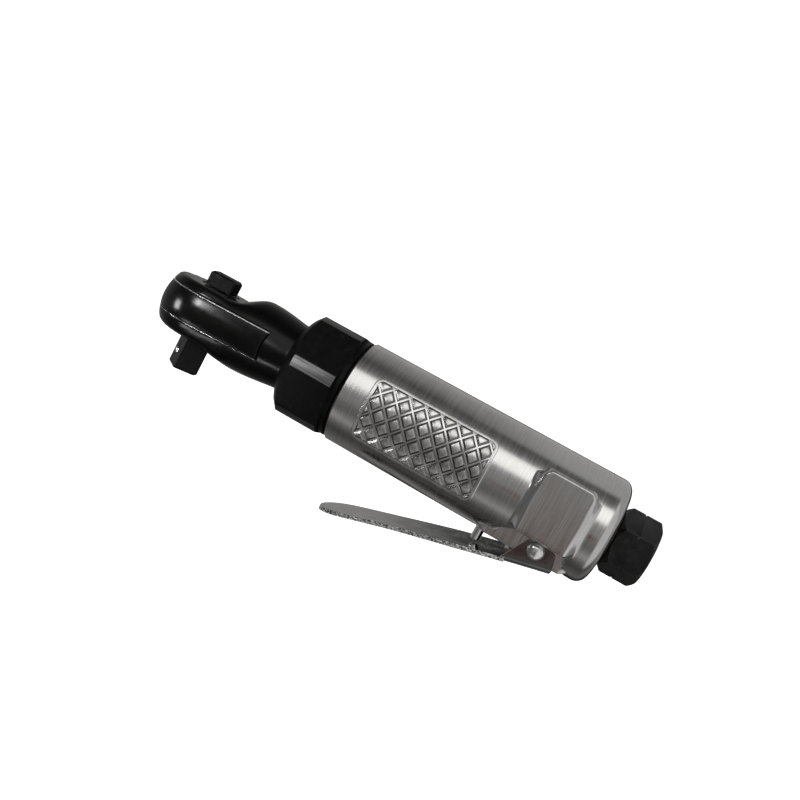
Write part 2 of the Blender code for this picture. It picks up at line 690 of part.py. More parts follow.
def rotor(spin):
    body = finish_mesh("rotor", prism(rotor_outline(), ROTOR_X0, ROTOR_X1, "X"),
                       "machined_steel", spin)
    combine(body, cutter("add_rotor_shaft", rod(0.0580, 0.1100, ROTOR_SHAFT_R, 14), spin), "UNION")
    sun_root = pitch_radius(SUN_TEETH) - 1.2 * GEAR_MODULE
    sun_tip = pitch_radius(SUN_TEETH) + 0.75 * GEAR_MODULE
    sun = gear_outline(SUN_TEETH, sun_root, sun_tip, 0.60, 0.20, math.radians(90))
    combine(body, cutter("add_sun", prism(sun, GEAR_X0, 0.0624, "X"), spin), "UNION")
    for vane in range(VANES):
        turn = 2 * math.pi * vane / VANES
        blade = prism([(ROTOR_R - 0.0002 - VANE_DEPTH, -VANE_T / 2), (ROTOR_R - 0.0002, -VANE_T / 2),
                       (ROTOR_R - 0.0002, VANE_T / 2), (ROTOR_R - 0.0002 - VANE_DEPTH, VANE_T / 2)],
                      ROTOR_X0 + 0.0001, ROTOR_X1 - 0.0001, "X")
        made = finish_mesh(f"vane_{vane + 1}", blade, "vane_phenolic", spin, smooth=False)
        made.rotation_euler.x = turn


def motor_stack(axis):
    cylinder = tube(0.0718, 0.1048, CYLINDER_R * 0.5, CYLINDER_R, ROUND)
    body = finish_mesh("motor_cylinder", cylinder, "machined_steel", axis)
    bore = rod(0.0700, 0.1060, CYLINDER_BORE, 26, "X", (0, CYLINDER_OFFSET))
    combine(body, cutter("cut_cylinder_bore", bore, axis))
    dowel_hole = rod(0.0650, 0.1120, DOWEL_R + GAP, 8, "X", (0, DOWEL_Z))
    dowel_cut = cutter("cut_dowel", dowel_hole, axis)
    combine(body, dowel_cut)
    plates = (("front_end_plate", 0.0665, 0.0715, 0.0650, 0.0706),
              ("rear_end_plate", 0.1051, 0.1101, 0.1060, 0.1110))
    for name, low, high, seat_low, seat_high in plates:
        plate = finish_mesh(name, tube(low, high, 0.0032, CYLINDER_R, ROUND), "machined_steel", axis)
        seat = rod(seat_low, seat_high, 0.0065, MEDIUM - 1)
        combine(plate, cutter(f"cut_seat_{name}", seat, axis))
        combine(plate, dowel_cut)
    bearings = (("front_bearing", 0.0667, 0.0703), ("rear_bearing", 0.1063, 0.1099))
    for name, low, high in bearings:
        finish_mesh(name, tube(low, high, 0.0030, 0.0062, MEDIUM), "polished_steel", axis)
    finish_mesh("cylinder_dowel", rod(0.0670, 0.1096, DOWEL_R, 8, "X", (0, DOWEL_Z)),
                "machined_steel", axis)
    finish_mesh("motor_gasket", tube(0.1104, 0.1117, 0.0100, CYLINDER_R, ROUND), "seal_rubber", axis)
    finish_mesh("gear_spacer", tube(0.0635, 0.0646, 0.0060, 0.0143, ROUND), "machined_steel", axis)
    finish_mesh("crank_bearing", tube(0.0334, 0.0500, BEARING_BORE, 0.0072, MEDIUM), "bronze", axis)


# ---- throttle valve, lever and inlet ----
def throttle_valve(axis):
    guide = tube(-0.0180, -0.0135, 0.0021, VALVE_BORE - GAP, 16, "Z", (VALVE_X, 0))
    finish_mesh("valve_guide", guide, "bronze", axis)
    seat = tube(-0.0106, -0.0092, 0.0029, VALVE_BORE - GAP, 16, "Z", (VALVE_X, 0))
    finish_mesh("valve_seat", seat, "bronze", axis)
    profile = [(STEM_LOW, 0), (STEM_LOW, STEM_R * 0.55), (STEM_LOW + 0.0005, STEM_R),
               (-0.0089, STEM_R), (-0.0089, 0.0039), (-0.0066, 0.0039), (-0.0066, 0)]
    finish_mesh("throttle_valve", turned(profile, 16, "Z"), "polished_steel", axis, (VALVE_X, 0, 0))
    spring = coil(0.0030, 0.0004, -0.0059, 0.0058, 5, 10, 4)
    finish_mesh("valve_spring", spring, "machined_steel", axis, (VALVE_X, 0, 0))


def blade_top(x):
    back = BLADE_REAR_X - x
    return BLADE_REAR_Z - BLADE_SLOPE * back - BLADE_BEND * back * back


def blade_half_width(x):
    """Full width at the ears, narrower along the blade, and a rounded tip."""
    width = between(x, ((0.0700, 0.0098), (0.0950, 0.0105), (0.1180, EAR_Y1), (0.1500, EAR_Y1)))
    round_start = 0.0800
    if x < round_start:
        past = (round_start - x) / (round_start - BLADE_TIP_X)
        width *= math.sqrt(max(0.0, 1 - past ** 2))
    return max(width, 0.0012)


def lever_blade():
    tip = [BLADE_TIP_X + (0.0800 - BLADE_TIP_X) * (1 - math.cos(math.radians(a)))
           for a in (6, 22, 40, 62, 90)]
    sections = []
    for x in (*tip, 0.0950, 0.1060, 0.1180, 0.1290, 0.1400, BLADE_REAR_X):
        half, top = blade_half_width(x), blade_top(x)
        sections.append([(x, -half, top), (x, half, top),
                         (x, half, top - LEVER_T), (x, -half, top - LEVER_T)])
    return loft(sections)


def ear_outline():
    """The side of the lever's ear, about the pin."""
    low_front = 0.1342
    return [(low_front - LEVER_PIN_X, blade_top(low_front) - 0.0006 - LEVER_PIN_Z),
            (BLADE_REAR_X - LEVER_PIN_X, BLADE_REAR_Z - 0.0006 - LEVER_PIN_Z),
            (0.0080, -0.0038), (0.0066, 0.0018), (0.0056, 0.0026), (-0.0030, 0.0025),
            (-0.0042, 0.0014)]


def throttle_lever(axis):
    pivot = empty("lever_pivot", (LEVER_PIN_X, 0, LEVER_PIN_Z), axis)
    blade = lever_blade()
    bmesh.ops.translate(blade, verts=blade.verts, vec=(-LEVER_PIN_X, 0, -LEVER_PIN_Z))
    body = finish_mesh("throttle_lever", blade, "polished_steel", pivot)
    hole = circle(LEVER_PIN_R + GAP, SMALL)
    for name, low, high in (("left", -EAR_Y1, -EAR_Y0), ("right", EAR_Y0, EAR_Y1)):
        ear = prism(ear_outline(), low, high, "Y", [hole])
        combine(body, cutter(f"add_ear_{name}", ear, pivot), "UNION")


def lever_pin(axis):
    head, flat = 0.0031, EAR_Y1 + GAP
    dome = [(flat + 0.0016 * math.sin(math.radians(a)), head * math.cos(math.radians(a)))
            for a in (0, 30, 58, 90)]
    dome[-1] = (dome[-1][0], 0)
    far = [(-along, radius) for along, radius in reversed(dome)]
    profile = far + [(-flat, LEVER_PIN_R), (flat, LEVER_PIN_R)] + dome
    finish_mesh("lever_pin", turned(profile, 16, "Y", (LEVER_PIN_X, LEVER_PIN_Z)),
                "polished_steel", axis)


def inlet_bushing(axis):
    corner = HEX_FLATS / 2 / math.cos(math.radians(30))
    angles = (HEX_TWIST + math.radians(30 + 60 * k) for k in range(6))
    hexagon = [(corner * math.cos(a), corner * math.sin(a)) for a in angles]
    body = finish_mesh("inlet_bushing", prism(hexagon, HEX_X0, HEX_X1, "X"), "black_oxide", axis)
    ends = [(HEX_X0 - 0.001, 0), (HEX_X0 - 0.001, 0.0092), (HEX_X0, 0.0103), (0.0022 + HEX_X0, 0.0126),
            (HEX_X1 - 0.0016, 0.0126), (HEX_X1, 0.0103), (HEX_X1 + 0.001, 0.0091), (HEX_X1 + 0.001, 0)]
    combine(body, cutter("cut_hex_ends", turned(ends, ROUND), axis), "INTERSECT")
    combine(body, cutter("add_inlet_stub", rod(0.1480, 0.1640, 0.0078, MEDIUM), axis), "UNION")
    bore = [(0.1470, 0), (0.1470, 0.0036), (INLET_FLOOR, 0.0036), (INLET_FLOOR, INLET_R),
            (HEX_X1 - 0.0008, INLET_R), (HEX_X1 + 0.0004, INLET_R + 0.0012), (HEX_X1 + 0.0004, 0)]
    combine(body, cutter("cut_inlet", turned(bore, MEDIUM), axis))
    finish_mesh("inlet_seal", tube(0.1616, 0.1622, 0.0081, 0.0098, MEDIUM), "seal_rubber", axis)
    screen = [(0.1608, 0), (0.1608, 0.0054), (0.1625, 0.0054), (0.1625, 0.0048), (0.1613, 0.0046),
              (0.1613, 0)]
    finish_mesh("inlet_screen", turned(screen, 16), "bronze", axis)


def main():
    clear_scene()
    axis = empty("tool_axis", (0, 0, AXIS_Z))
    drive = empty("drive_axis", (0, 0, 0), axis)
    twisted = empty("anvil_axis", (0, 0, 0), axis, DRIVE_TWIST)
    carrier = empty("carrier_axis", (0, 0, 0), axis)
    spin = empty("rotor_axis", (0, 0, 0), axis)
    motor_housing(axis)
    clamp_nut(axis)
    ratchet_housing(axis)
    ratchet_yoke(drive)
    head_rings(axis)
    drive_anvil(twisted)
    pawl_and_pin(twisted)
    detent(twisted)
    reverse_knob(drive)
    crank_shaft(carrier)
    planets(carrier)
    ring_gear(axis)
    rotor(spin)
    motor_stack(axis)
    throttle_valve(axis)
    throttle_lever(axis)
    lever_pin(axis)
    inlet_bushing(axis)


main()
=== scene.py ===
import math

import bmesh
import bpy
from mathutils import Matrix, Vector


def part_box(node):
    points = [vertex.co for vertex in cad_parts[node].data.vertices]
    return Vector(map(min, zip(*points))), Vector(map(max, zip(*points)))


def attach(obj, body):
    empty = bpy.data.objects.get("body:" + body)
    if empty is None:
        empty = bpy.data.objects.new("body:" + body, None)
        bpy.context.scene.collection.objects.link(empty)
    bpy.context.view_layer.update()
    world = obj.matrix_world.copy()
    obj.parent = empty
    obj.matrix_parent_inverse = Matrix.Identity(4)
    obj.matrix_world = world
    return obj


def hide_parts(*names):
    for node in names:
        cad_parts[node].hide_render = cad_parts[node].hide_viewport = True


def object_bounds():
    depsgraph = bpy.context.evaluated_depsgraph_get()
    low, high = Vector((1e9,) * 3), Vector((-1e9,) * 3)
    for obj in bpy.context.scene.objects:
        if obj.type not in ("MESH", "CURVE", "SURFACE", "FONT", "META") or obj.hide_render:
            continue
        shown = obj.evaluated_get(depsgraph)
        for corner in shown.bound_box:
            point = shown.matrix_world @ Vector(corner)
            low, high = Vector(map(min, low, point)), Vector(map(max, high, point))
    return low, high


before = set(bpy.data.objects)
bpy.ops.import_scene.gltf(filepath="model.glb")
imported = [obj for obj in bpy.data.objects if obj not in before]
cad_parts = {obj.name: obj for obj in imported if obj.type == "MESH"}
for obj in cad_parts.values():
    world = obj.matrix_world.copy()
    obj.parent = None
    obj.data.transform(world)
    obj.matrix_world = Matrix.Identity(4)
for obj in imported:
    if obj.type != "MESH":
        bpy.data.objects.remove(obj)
cad_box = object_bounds()

# Looks for the air ratchet. Metres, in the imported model's frame: +X runs from the head to the air
# inlet, +Z from the square drive to the reverse knob. Shapes are worked out about the barrel's
# centreline and lifted to its height when each piece is made.


# ---- places and sizes read from the frame ----
def middle(node):
    low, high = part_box(node)
    return (low + high) / 2


AXIS_Z = middle("motor_cylinder").z
BARREL_X0, BARREL_X1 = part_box("motor_housing")[0].x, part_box("motor_housing")[1].x
BOSS_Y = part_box("motor_housing")[1].y
NUT_X0, NUT_X1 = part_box("clamp_nut")[0].x, 0.0573
HEX_X1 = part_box("inlet_bushing")[1].x
PIN_X, PIN_Z = middle("lever_pin").x, middle("lever_pin").z - AXIS_Z
STEM_X = middle("throttle_valve").x

# ---- sizes of the seen shapes ----
HOUSING_R0, HOUSING_R1 = 0.0190, 0.0194
BOSS_TOP, BOSS_CORNER = 0.0120, 0.0026
POCKET_CEILING = 0.0108
TONGUE_Y, TONGUE_LOW = 0.0112, 0.0183
FRONT_EDGE, REAR_EDGE = 0.0011, 0.0040
POCKET_ROOF = (
    (0.1243, 0.0194), (0.1262, 0.0160), (0.1290, 0.0130), (0.1345, POCKET_CEILING),
    (0.1510, POCKET_CEILING), (0.1516, 0.0125), (0.1520, 0.0250),
)
EXHAUST_ORBIT, EXHAUST_R = 0.0126, 0.0013

GRIP_X0, GRIP_X1 = 0.0702, 0.1149
GRIP_LOW, GRIP_TOP = math.radians(-35.0), math.radians(33.0)
GRIP_PITCH_X, GRIP_PITCH_S = 0.00610, 0.00690
GRIP_HEIGHT = 0.00065
GRIP_FIRST_X, GRIP_FIRST_TURN = 0.0729, math.radians(29.6)
GRIP_ROWS, GRIP_COLUMNS = 7, 10
GRIP_ROOT = -0.0003
STUD_VALLEY, STUD_SLOPE, STUD_EDGE, STUD_LEAST = 0.00024, 0.00070, 0.00010, 0.0003
FLANK_LEAN = math.radians(30)
GRIP_CORNER = 0.0022

NUT_FLATS, NUT_CORNER, NUT_TWIST = 0.0370, 0.0202, math.radians(-6)

HEAD_R, HEAD_CROWN, HEAD_MIDDLE = 0.01785, 29.7, -0.0007
HEAD_TOP, HEAD_LOW = 0.0088, -0.0108
TOP_EDGE, LOW_EDGE = 0.0011, 0.0022
HEAD_TAPER = math.radians(7.65)
NECK_R, NECK_END = 0.0124, 0.0510
SLOT_TOP, SLOT_LOW, SLOT_R = 0.0056, -0.0054, 0.0305
SEAM_EDGE, SEAM_GAP, YOKE_CORNER = 0.00040, 0.00015, 0.0004

HEX_FLATS, HEX_TWIST = 0.0214, math.radians(1.7)
HEX_X0 = 0.1625
INLET_R = 0.0057

LEVER_T = 0.0015
EAR_Y = 0.0130
BLADE_REAR_X, BLADE_REAR_Z = 0.1480, -0.01862
BLADE_TIP_X, TIP_ROUND_X = 0.0693, 0.0800
EAR_FRONT_X = 0.1336


# ---- mesh helpers ----
def on_axis(axis, u, v, w):
    """A point from two coordinates across an axis, u and v, and one along it, w."""
    if axis == "X":
        return Vector((w, u, v))
    if axis == "Y":
        return Vector((u, w, v))
    return Vector((u, v, w))


def bridge(bm, first, second):
    """Faces between two rings, either of which may be a single point."""
    count = max(len(first), len(second))
    for step in range(count):
        after = (step + 1) % count
        corners = [first[step % len(first)], first[after % len(first)],
                   second[after % len(second)], second[step % len(second)]]
        bm.faces.new(list(dict.fromkeys(corners)))


def turned(profile, segments, axis="X", centre=(0, 0)):
    """A body turned round an axis from a loop of (along, radius) points."""
    bm = bmesh.new()
    rings = []
    for along, radius in profile:
        if radius == 0:
            rings.append([bm.verts.new(on_axis(axis, *centre, along))])
            continue
        turns = (2 * math.pi * step / segments for step in range(segments))
        rings.append([bm.verts.new(on_axis(axis, centre[0] + radius * math.cos(a),
                                           centre[1] + radius * math.sin(a), along))
                      for a in turns])
    for first, second in zip(rings, rings[1:] + rings[:1]):
        if len(first) > 1 or len(second) > 1:
            bridge(bm, first, second)
    return bm


def rod(low, high, radius, segments, axis="X", centre=(0, 0)):
    return turned([(low, 0), (low, radius), (high, radius), (high, 0)], segments, axis, centre)


def prism(outline, low, high, axis="Z"):
    bm = bmesh.new()
    rings = [[bm.verts.new(on_axis(axis, u, v, along)) for u, v in outline]
             for along in (low, high)]
    bridge(bm, *rings)
    for ring in rings:
        bm.faces.new(ring)
    return bm


def loft(sections, ring=False):
    """A body through cross-sections with the same number of points, or a ring of them."""
    bm = bmesh.new()
    rings = [[bm.verts.new(point) for point in section] for section in sections]
    for first, second in zip(rings, rings[1:]):
        bridge(bm, first, second)
    if ring:
        bridge(bm, rings[-1], rings[0])
    else:
        bm.faces.new(rings[0])
        bm.faces.new(rings[-1])
    return bm


def arc(centre, radius, start, end, steps):
    turns = (start + (end - start) * step / steps for step in range(steps + 1))
    return [(centre[0] + radius * math.cos(a), centre[1] + radius * math.sin(a)) for a in turns]


def blend(value, start, end):
    """0 before start, 1 after end, and a smooth rise between."""
    share = min(1.0, max(0.0, (value - start) / (end - start)))
    return share * share * (3 - 2 * share)


def between(value, table):
    for (x0, y0), (x1, y1) in zip(table, table[1:]):
        if value <= x1:
            return y0 + (y1 - y0) * max(0.0, value - x0) / (x1 - x0)
    return table[-1][1]


def spread(low, high, step, keys=(), near=()):
    """Even steps from low to high, with the keys and points beside them added."""
    count = max(1, round((high - low) / step))
    values = [low + (high - low) * k / count for k in range(count + 1)]
    closest = step * 0.2
    for key in keys:
        values += [key] + [key + side * offset for offset in near for side in (-1, 1)]
    kept = []
    for value in sorted(v for v in values if low <= v <= high):
        if value in keys:
            kept = [v for v in kept if value - v > closest or v in keys]
        if not kept or value - kept[-1] > closest:
            kept.append(value)
    return kept


def soft_least(first, second, sharpness):
    """The smaller of two radii, with the corner between them rounded."""
    return (first ** -sharpness + second ** -sharpness) ** (-1 / sharpness)


def make(name, bm, looks, smooth=35):
    """An object from a bmesh worked out about the barrel's centreline."""
    bmesh.ops.recalc_face_normals(bm, faces=bm.faces)
    bmesh.ops.translate(bm, verts=bm.verts, vec=(0, 0, AXIS_Z))
    mesh = bpy.data.meshes.new(name)
    bm.to_mesh(mesh)
    bm.free()
    for look in looks:
        mesh.materials.append(look)
    if smooth:
        mesh.shade_smooth()
        mesh.set_sharp_from_angle(angle=math.radians(smooth))
    made = bpy.data.objects.new(name, mesh)
    bpy.context.scene.collection.objects.link(made)
    return made


def combine(obj, bm, operation="DIFFERENCE", smooth=35):
    """Applies a Boolean with a body, then drops the body."""
    other = make("cutter", bm, [])
    modifier = obj.modifiers.new("combine", "BOOLEAN")
    modifier.operation = operation
    modifier.solver = "EXACT"
    modifier.object = other
    graph = bpy.context.evaluated_depsgraph_get()
    result = bpy.data.meshes.new_from_object(obj.evaluated_get(graph))
    obj.modifiers.clear()
    obj.data = result
    bpy.data.objects.remove(other)
    result.shade_smooth()
    result.set_sharp_from_angle(angle=math.radians(smooth))


def join(first, second):
    """Adds a second bmesh to a first one."""
    spare = bpy.data.meshes.new("spare")
    second.to_mesh(spare)
    second.free()
    first.from_mesh(spare)
    bpy.data.meshes.remove(spare)
    return first


def soften(obj, width, slot=-1):
    """A fine bevel on the sharp edges; the slot, if given, is the bevel's own material."""
    modifier = obj.modifiers.new("soften", "BEVEL")
    modifier.width = width
    modifier.segments = 2
    modifier.limit_method = "ANGLE"
    modifier.angle_limit = math.radians(30)
    modifier.harden_normals = True
    modifier.material = slot


def piece(obj, body, slot, *nodes):
    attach(obj, body)
    if nodes:
        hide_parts(*nodes)
    return obj


# ---- materials ----
class Look:
    """A Principled material with short ways to drive its sockets from noise."""

    def __init__(self, name, colour, metallic, roughness, level=0.5):
        self.material = bpy.data.materials.new(name)
        self.material.use_nodes = True
        self.tree = self.material.node_tree
        self.shader = self.tree.nodes["Principled BSDF"]
        self.shader.inputs["Base Color"].default_value = (*colour, 1)
        self.shader.inputs["Metallic"].default_value = metallic
        self.shader.inputs["Roughness"].default_value = roughness
        self.shader.inputs["Specular IOR Level"].default_value = level
        self.place = self.tree.nodes.new("ShaderNodeTexCoord").outputs["Object"]

    def node(self, kind, **settings):
        made = self.tree.nodes.new("ShaderNode" + kind)
        for key, value in settings.items():
            setattr(made, key, value)
        return made

    def link(self, source, target):
        self.tree.links.new(source, target)

    def textured(self, kind, scale):
        """A texture with its own scale along X, Y and Z, in cycles to the metre."""
        mapping = self.node("Mapping")
        mapping.inputs["Scale"].default_value = scale
        self.link(self.place, mapping.inputs["Vector"])
        texture = self.node(kind)
        texture.inputs["Scale"].default_value = 1.0
        self.link(mapping.outputs["Vector"], texture.inputs["Vector"])
        return texture

    def noise(self, scale, detail=2.0, rough=0.5):
        texture = self.textured("TexNoise", scale)
        texture.inputs["Detail"].default_value = detail
        texture.inputs["Roughness"].default_value = rough
        return texture.outputs["Fac"]

    def cells(self, scale):
        return self.textured("TexVoronoi", scale).outputs["Distance"]

    def ranged(self, value, low, high, start=0.3, end=0.7):
        made = self.node("MapRange", interpolation_type="SMOOTHSTEP")
        made.inputs["From Min"].default_value = start
        made.inputs["From Max"].default_value = end
        made.inputs["To Min"].default_value = low
        made.inputs["To Max"].default_value = high
        self.link(value, made.inputs["Value"])
        return made.outputs["Result"]

    def add(self, first, second):
        made = self.node("Math", operation="ADD")
        self.link(first, made.inputs[0])
        self.link(second, made.inputs[1])
        return made.outputs["Value"]

    def colours(self, value, *stops):
        """Colour by a value, from (position, colour) stops."""
        made = self.node("ValToRGB")
        ramp = made.color_ramp
        while len(ramp.elements) < len(stops):
            ramp.elements.new(0.5)
        for element, (position, colour) in zip(ramp.elements, stops):
            element.position = position
            element.color = (*colour, 1)
        self.link(value, made.inputs["Fac"])
        self.link(made.outputs["Color"], self.shader.inputs["Base Color"])

    def roughness(self, value):
        self.link(value, self.shader.inputs["Roughness"])

    def bump(self, value, strength, distance):
        made = self.node("Bump")
        made.inputs["Strength"].default_value = strength
        made.inputs["Distance"].default_value = distance
        self.link(value, made.inputs["Height"])
        self.link(made.outputs["Normal"], self.shader.inputs["Normal"])


def grey(value, warmth=0.0):
    return (value * (1 + warmth), value, value * (1 - warmth * 1.5))


def brushed_steel():
    look = Look("housing_steel_brushed", grey(0.58), 1.0, 0.3)
    streaks = look.noise((3000, 130, 130), 3.0, 0.6)
    scratches = look.noise((1400, 40, 40), 2.0, 0.5)
    patches = look.noise((45, 60, 60), 3.0, 0.55)
    both = look.add(streaks, scratches)
    look.colours(look.ranged(look.add(both, patches), 0, 1, 1.1, 1.9),
                 (0.0, grey(0.53, 0.02)), (0.5, grey(0.58, 0.01)), (1.0, grey(0.63)))
    look.roughness(look.ranged(both, 0.15, 0.23, 0.7, 1.3))
    look.bump(streaks, 0.10, 0.00003)
    return look.material


def cast_steel(name, tone):
    look = Look(name, grey(0.58 * tone), 1.0, 0.27)
    grain = look.noise((1500, 1500, 1500), 3.0, 0.6)
    patches = look.noise((180, 180, 180), 2.0, 0.5)
    look.colours(look.ranged(patches, 0, 1),
                 (0.0, grey(0.50 * tone, 0.02)), (1.0, grey(0.66 * tone)))
    look.roughness(look.ranged(grain, 0.20, 0.34))
    look.bump(grain, 0.25, 0.00003)
    return look.material


def gloss_black():
    look = Look("head_black_gloss", grey(0.003), 0.0, 0.2, 0.16)
    peel = look.noise((350, 350, 350), 2.0, 0.5)
    dust = look.noise((2400, 2400, 2400), 2.0, 0.7)
    look.colours(look.ranged(dust, 0, 1, 0.6, 0.85), (0.0, grey(0.0012)), (1.0, grey(0.005)))
    look.roughness(look.ranged(peel, 0.17, 0.23))
    look.bump(peel, 0.05, 0.00003)
    return look.material


def black_oxide(name="black_oxide_satin", depth=0.00003, mottled=1.0, level=0.13, tone=1.0,
                rough=0.32):
    """Satin black: bump depth, strength of the mottle, specular level, brightness, roughness."""
    look = Look(name, grey(0.004), 0.0, 0.42, level)
    grain = look.noise((2200, 2200, 2200), 3.0, 0.65)
    mottle = look.noise((420, 420, 420), 4.0, 0.6)
    look.colours(look.ranged(mottle, 0, 1, 0.35, 0.8),
                 (0.0, (0.0015 * tone, 0.0019 * tone, 0.0018 * tone)), (0.6, grey(0.003 * tone)),
                 (1.0, grey((0.005 + 0.006 * mottled) * tone)))
    look.roughness(look.ranged(look.add(grain, mottle), rough, rough + 0.2, 0.7, 1.3))
    look.bump(grain, 0.30, depth)
    return look.material


# Lighter steel in fine lines: painted highlight on the nut's corner flats and on the seam edges of head
# and yoke, real wear on the inlet's edges.
def wear_and_highlight_steel(name="corner_flat_painted_highlight", tone=0.5):
    look = Look(name, grey(0.26 * tone), 1.0, 0.34)
    lines = look.noise((120, 3200, 3200), 2.0, 0.6)
    look.colours(look.ranged(lines, 0, 1), (0.0, grey(0.17 * tone)), (1.0, grey(0.34 * tone)))
    look.roughness(look.ranged(lines, 0.30, 0.42))
    look.bump(lines, 0.2, 0.00003)
    return look.material


def polished_steel(name="polished_steel_plain", tone=0.72):
    look = Look(name, grey(tone), 1.0, 0.12)
    haze = look.noise((160, 160, 160), 3.0, 0.5)
    lines = look.noise((2400, 240, 900), 2.0, 0.6)
    look.colours(look.ranged(haze, 0, 1), (0.0, grey(tone * 0.88)), (1.0, grey(tone * 1.08)))
    look.roughness(look.ranged(look.add(haze, lines), 0.07, 0.19, 0.7, 1.3))
    look.bump(lines, 0.06, 0.00002)
    return look.material


def sheared_steel():
    look = Look("sheared_edge_steel", grey(0.6), 1.0, 0.25)
    tears = look.cells((1300, 1300, 2200))
    look.colours(look.ranged(tears, 0, 1, 0.25, 0.75), (0.0, grey(0.06)), (1.0, grey(0.75)))
    look.roughness(look.ranged(tears, 0.18, 0.36, 0.1, 0.7))
    look.bump(tears, 0.9, 0.00022)
    return look.material


def plain(name, metallic, rough, grain_scale, low, high, depth, detail=2.0, coarse=0.5):
    """One grain that shades the colour from low to high and raises the surface by a depth."""
    look = Look(name, [(a + b) / 2 for a, b in zip(low, high)], metallic, rough)
    grain = look.noise(grain_scale, detail, coarse)
    look.colours(look.ranged(grain, 0, 1), (0.0, low), (1.0, high))
    look.bump(grain, 0.2, depth)
    return look.material


def bronze():
    look = Look("bronze_sintered", (0.50, 0.33, 0.14), 1.0, 0.38)
    pores = look.cells((2500, 2500, 2500))
    look.colours(look.ranged(pores, 0, 1, 0.05, 0.5),
                 (0.0, (0.22, 0.13, 0.05)), (1.0, (0.55, 0.37, 0.16)))
    look.bump(pores, 0.3, 0.00004)
    return look.material


# ---- motor housing ----
def barrel_radius(x):
    """A slight taper, a chamfered front and a rounded rear."""
    share = (x - BARREL_X0) / (BARREL_X1 - BARREL_X0)
    radius = HOUSING_R0 + (HOUSING_R1 - HOUSING_R0) * share
    if x < BARREL_X0 + FRONT_EDGE:
        radius -= FRONT_EDGE - (x - BARREL_X0)
    past = x - (BARREL_X1 - REAR_EDGE)
    if past > 0:
        radius -= REAR_EDGE - math.sqrt(max(0.0, REAR_EDGE ** 2 - past ** 2))
    return radius


def boss_share(x, height):
    """How far the side boss stands out, with round corners at its top."""
    past = min(1.0, max(0.0, (height - BOSS_TOP + BOSS_CORNER) / BOSS_CORNER))
    inset = BOSS_CORNER * (1 - math.sqrt(1 - past * past))
    rise = blend(x, 0.1297 + inset, 0.1333 + inset)
    return rise * (1 - blend(x, 0.1502 - inset, 0.1535 - inset))


def housing_radius(x, angle):
    """Radius of the housing's skin at an angle above the side, the same on both sides."""
    across = max(1e-4, math.cos(angle))
    up = max(1e-4, abs(math.sin(angle)))
    round_r = barrel_radius(x)
    limit = BOSS_TOP if angle > 0 else POCKET_CEILING
    boss = soft_least(BOSS_Y / across, limit / up, 70)
    stand = max(0.0, boss - round_r)
    height = min(limit, boss * up) if angle > 0 else 0.0
    radius = round_r + boss_share(x, height) * stand
    if angle >= 0:
        return radius
    tongue = min(TONGUE_Y / across, TONGUE_LOW / up)
    if tongue > round_r or TONGUE_Y / across > TONGUE_LOW / up:
        share = blend(x, 0.1190, 0.1245) * (1 - blend(x, 0.1518, 0.1555))
        soft = soft_least(TONGUE_Y / across, TONGUE_LOW / up, 110)
        radius = max(radius, round_r) * (1 - share) + soft * share
    if POCKET_ROOF[0][0] < x < POCKET_ROOF[-1][0]:
        radius = min(radius, max(between(x, POCKET_ROOF) / up, TONGUE_Y / across))
    return radius


def housing_sections():
    keys = [math.radians(a) for a in (-58.5, -43.95, -33.8, 30.6, 38.3)]
    near = [math.radians(a) for a in (0.5, 1.1)]
    right = spread(-math.pi / 2, math.pi / 2, math.radians(1.3), keys, near)
    stations = [BARREL_X0, BARREL_X0 + FRONT_EDGE, 0.0700, 0.0850, 0.1000, 0.1150]
    stations += spread(0.1180, 0.1565, 0.00045)
    rear = BARREL_X1 - REAR_EDGE
    stations += [rear + REAR_EDGE * math.sin(math.radians(a)) for a in range(0, 91, 9)]
    sections = []
    for x in stations:
        half = [(a, housing_radius(x, a)) for a in right]
        points = [(x, r * math.cos(a), r * math.sin(a)) for a, r in half]
        sections.append(points + [(x, -y, z) for _, y, z in reversed(points[1:-1])])
    turns = right + [math.pi - a for a in reversed(right[1:-1])]
    bore = [(BARREL_X1, 0.0081), (0.1470, 0.0081), (0.1470, 0.0032), (0.1120, 0.0032),
            (0.1120, 0.0155), (0.0662, 0.0155), (0.0662, 0.0163), (BARREL_X0, 0.0163)]
    for x, radius in bore:
        sections.append([(x, radius * math.cos(a), radius * math.sin(a)) for a in turns])
    return sections


def housing(steel, dark):
    body = make("housing_shell", loft(housing_sections(), ring=True), [steel, dark])
    holes = rod(-0.0250, 0.0065, 0.0046, 48, "Z", (STEM_X, 0))
    join(holes, rod(-0.0130, 0.0130, 0.0019, 24, "Y", (PIN_X, PIN_Z)))
    for place in (30, 60, 120, 150):
        turn = math.radians(place)
        centre = (EXHAUST_ORBIT * math.cos(turn), EXHAUST_ORBIT * math.sin(turn))
        join(holes, rod(0.1110, 0.1630, EXHAUST_R, 24, "X", centre))
    combine(body, holes)
    return piece(body, "root", "housing_steel", "motor_housing")


# ---- knurled grip panels ----
def clip(polygon, nx, ny, limit):
    """Keeps the part of a convex polygon where nx * u + ny * v <= limit."""
    kept = []
    for (u0, v0), (u1, v1) in zip(polygon, polygon[1:] + polygon[:1]):
        d0 = nx * u0 + ny * v0 - limit
        d1 = nx * u1 + ny * v1 - limit
        if d0 <= 0:
            kept.append((u0, v0))
        if d0 * d1 < 0:
            share = d0 / (d0 - d1)
            kept.append((u0 + (u1 - u0) * share, v0 + (v1 - v0) * share))
    return kept


def grip_extent():
    radius = barrel_radius((GRIP_X0 + GRIP_X1) / 2)
    return GRIP_X0, GRIP_X1, GRIP_LOW * radius, GRIP_TOP * radius


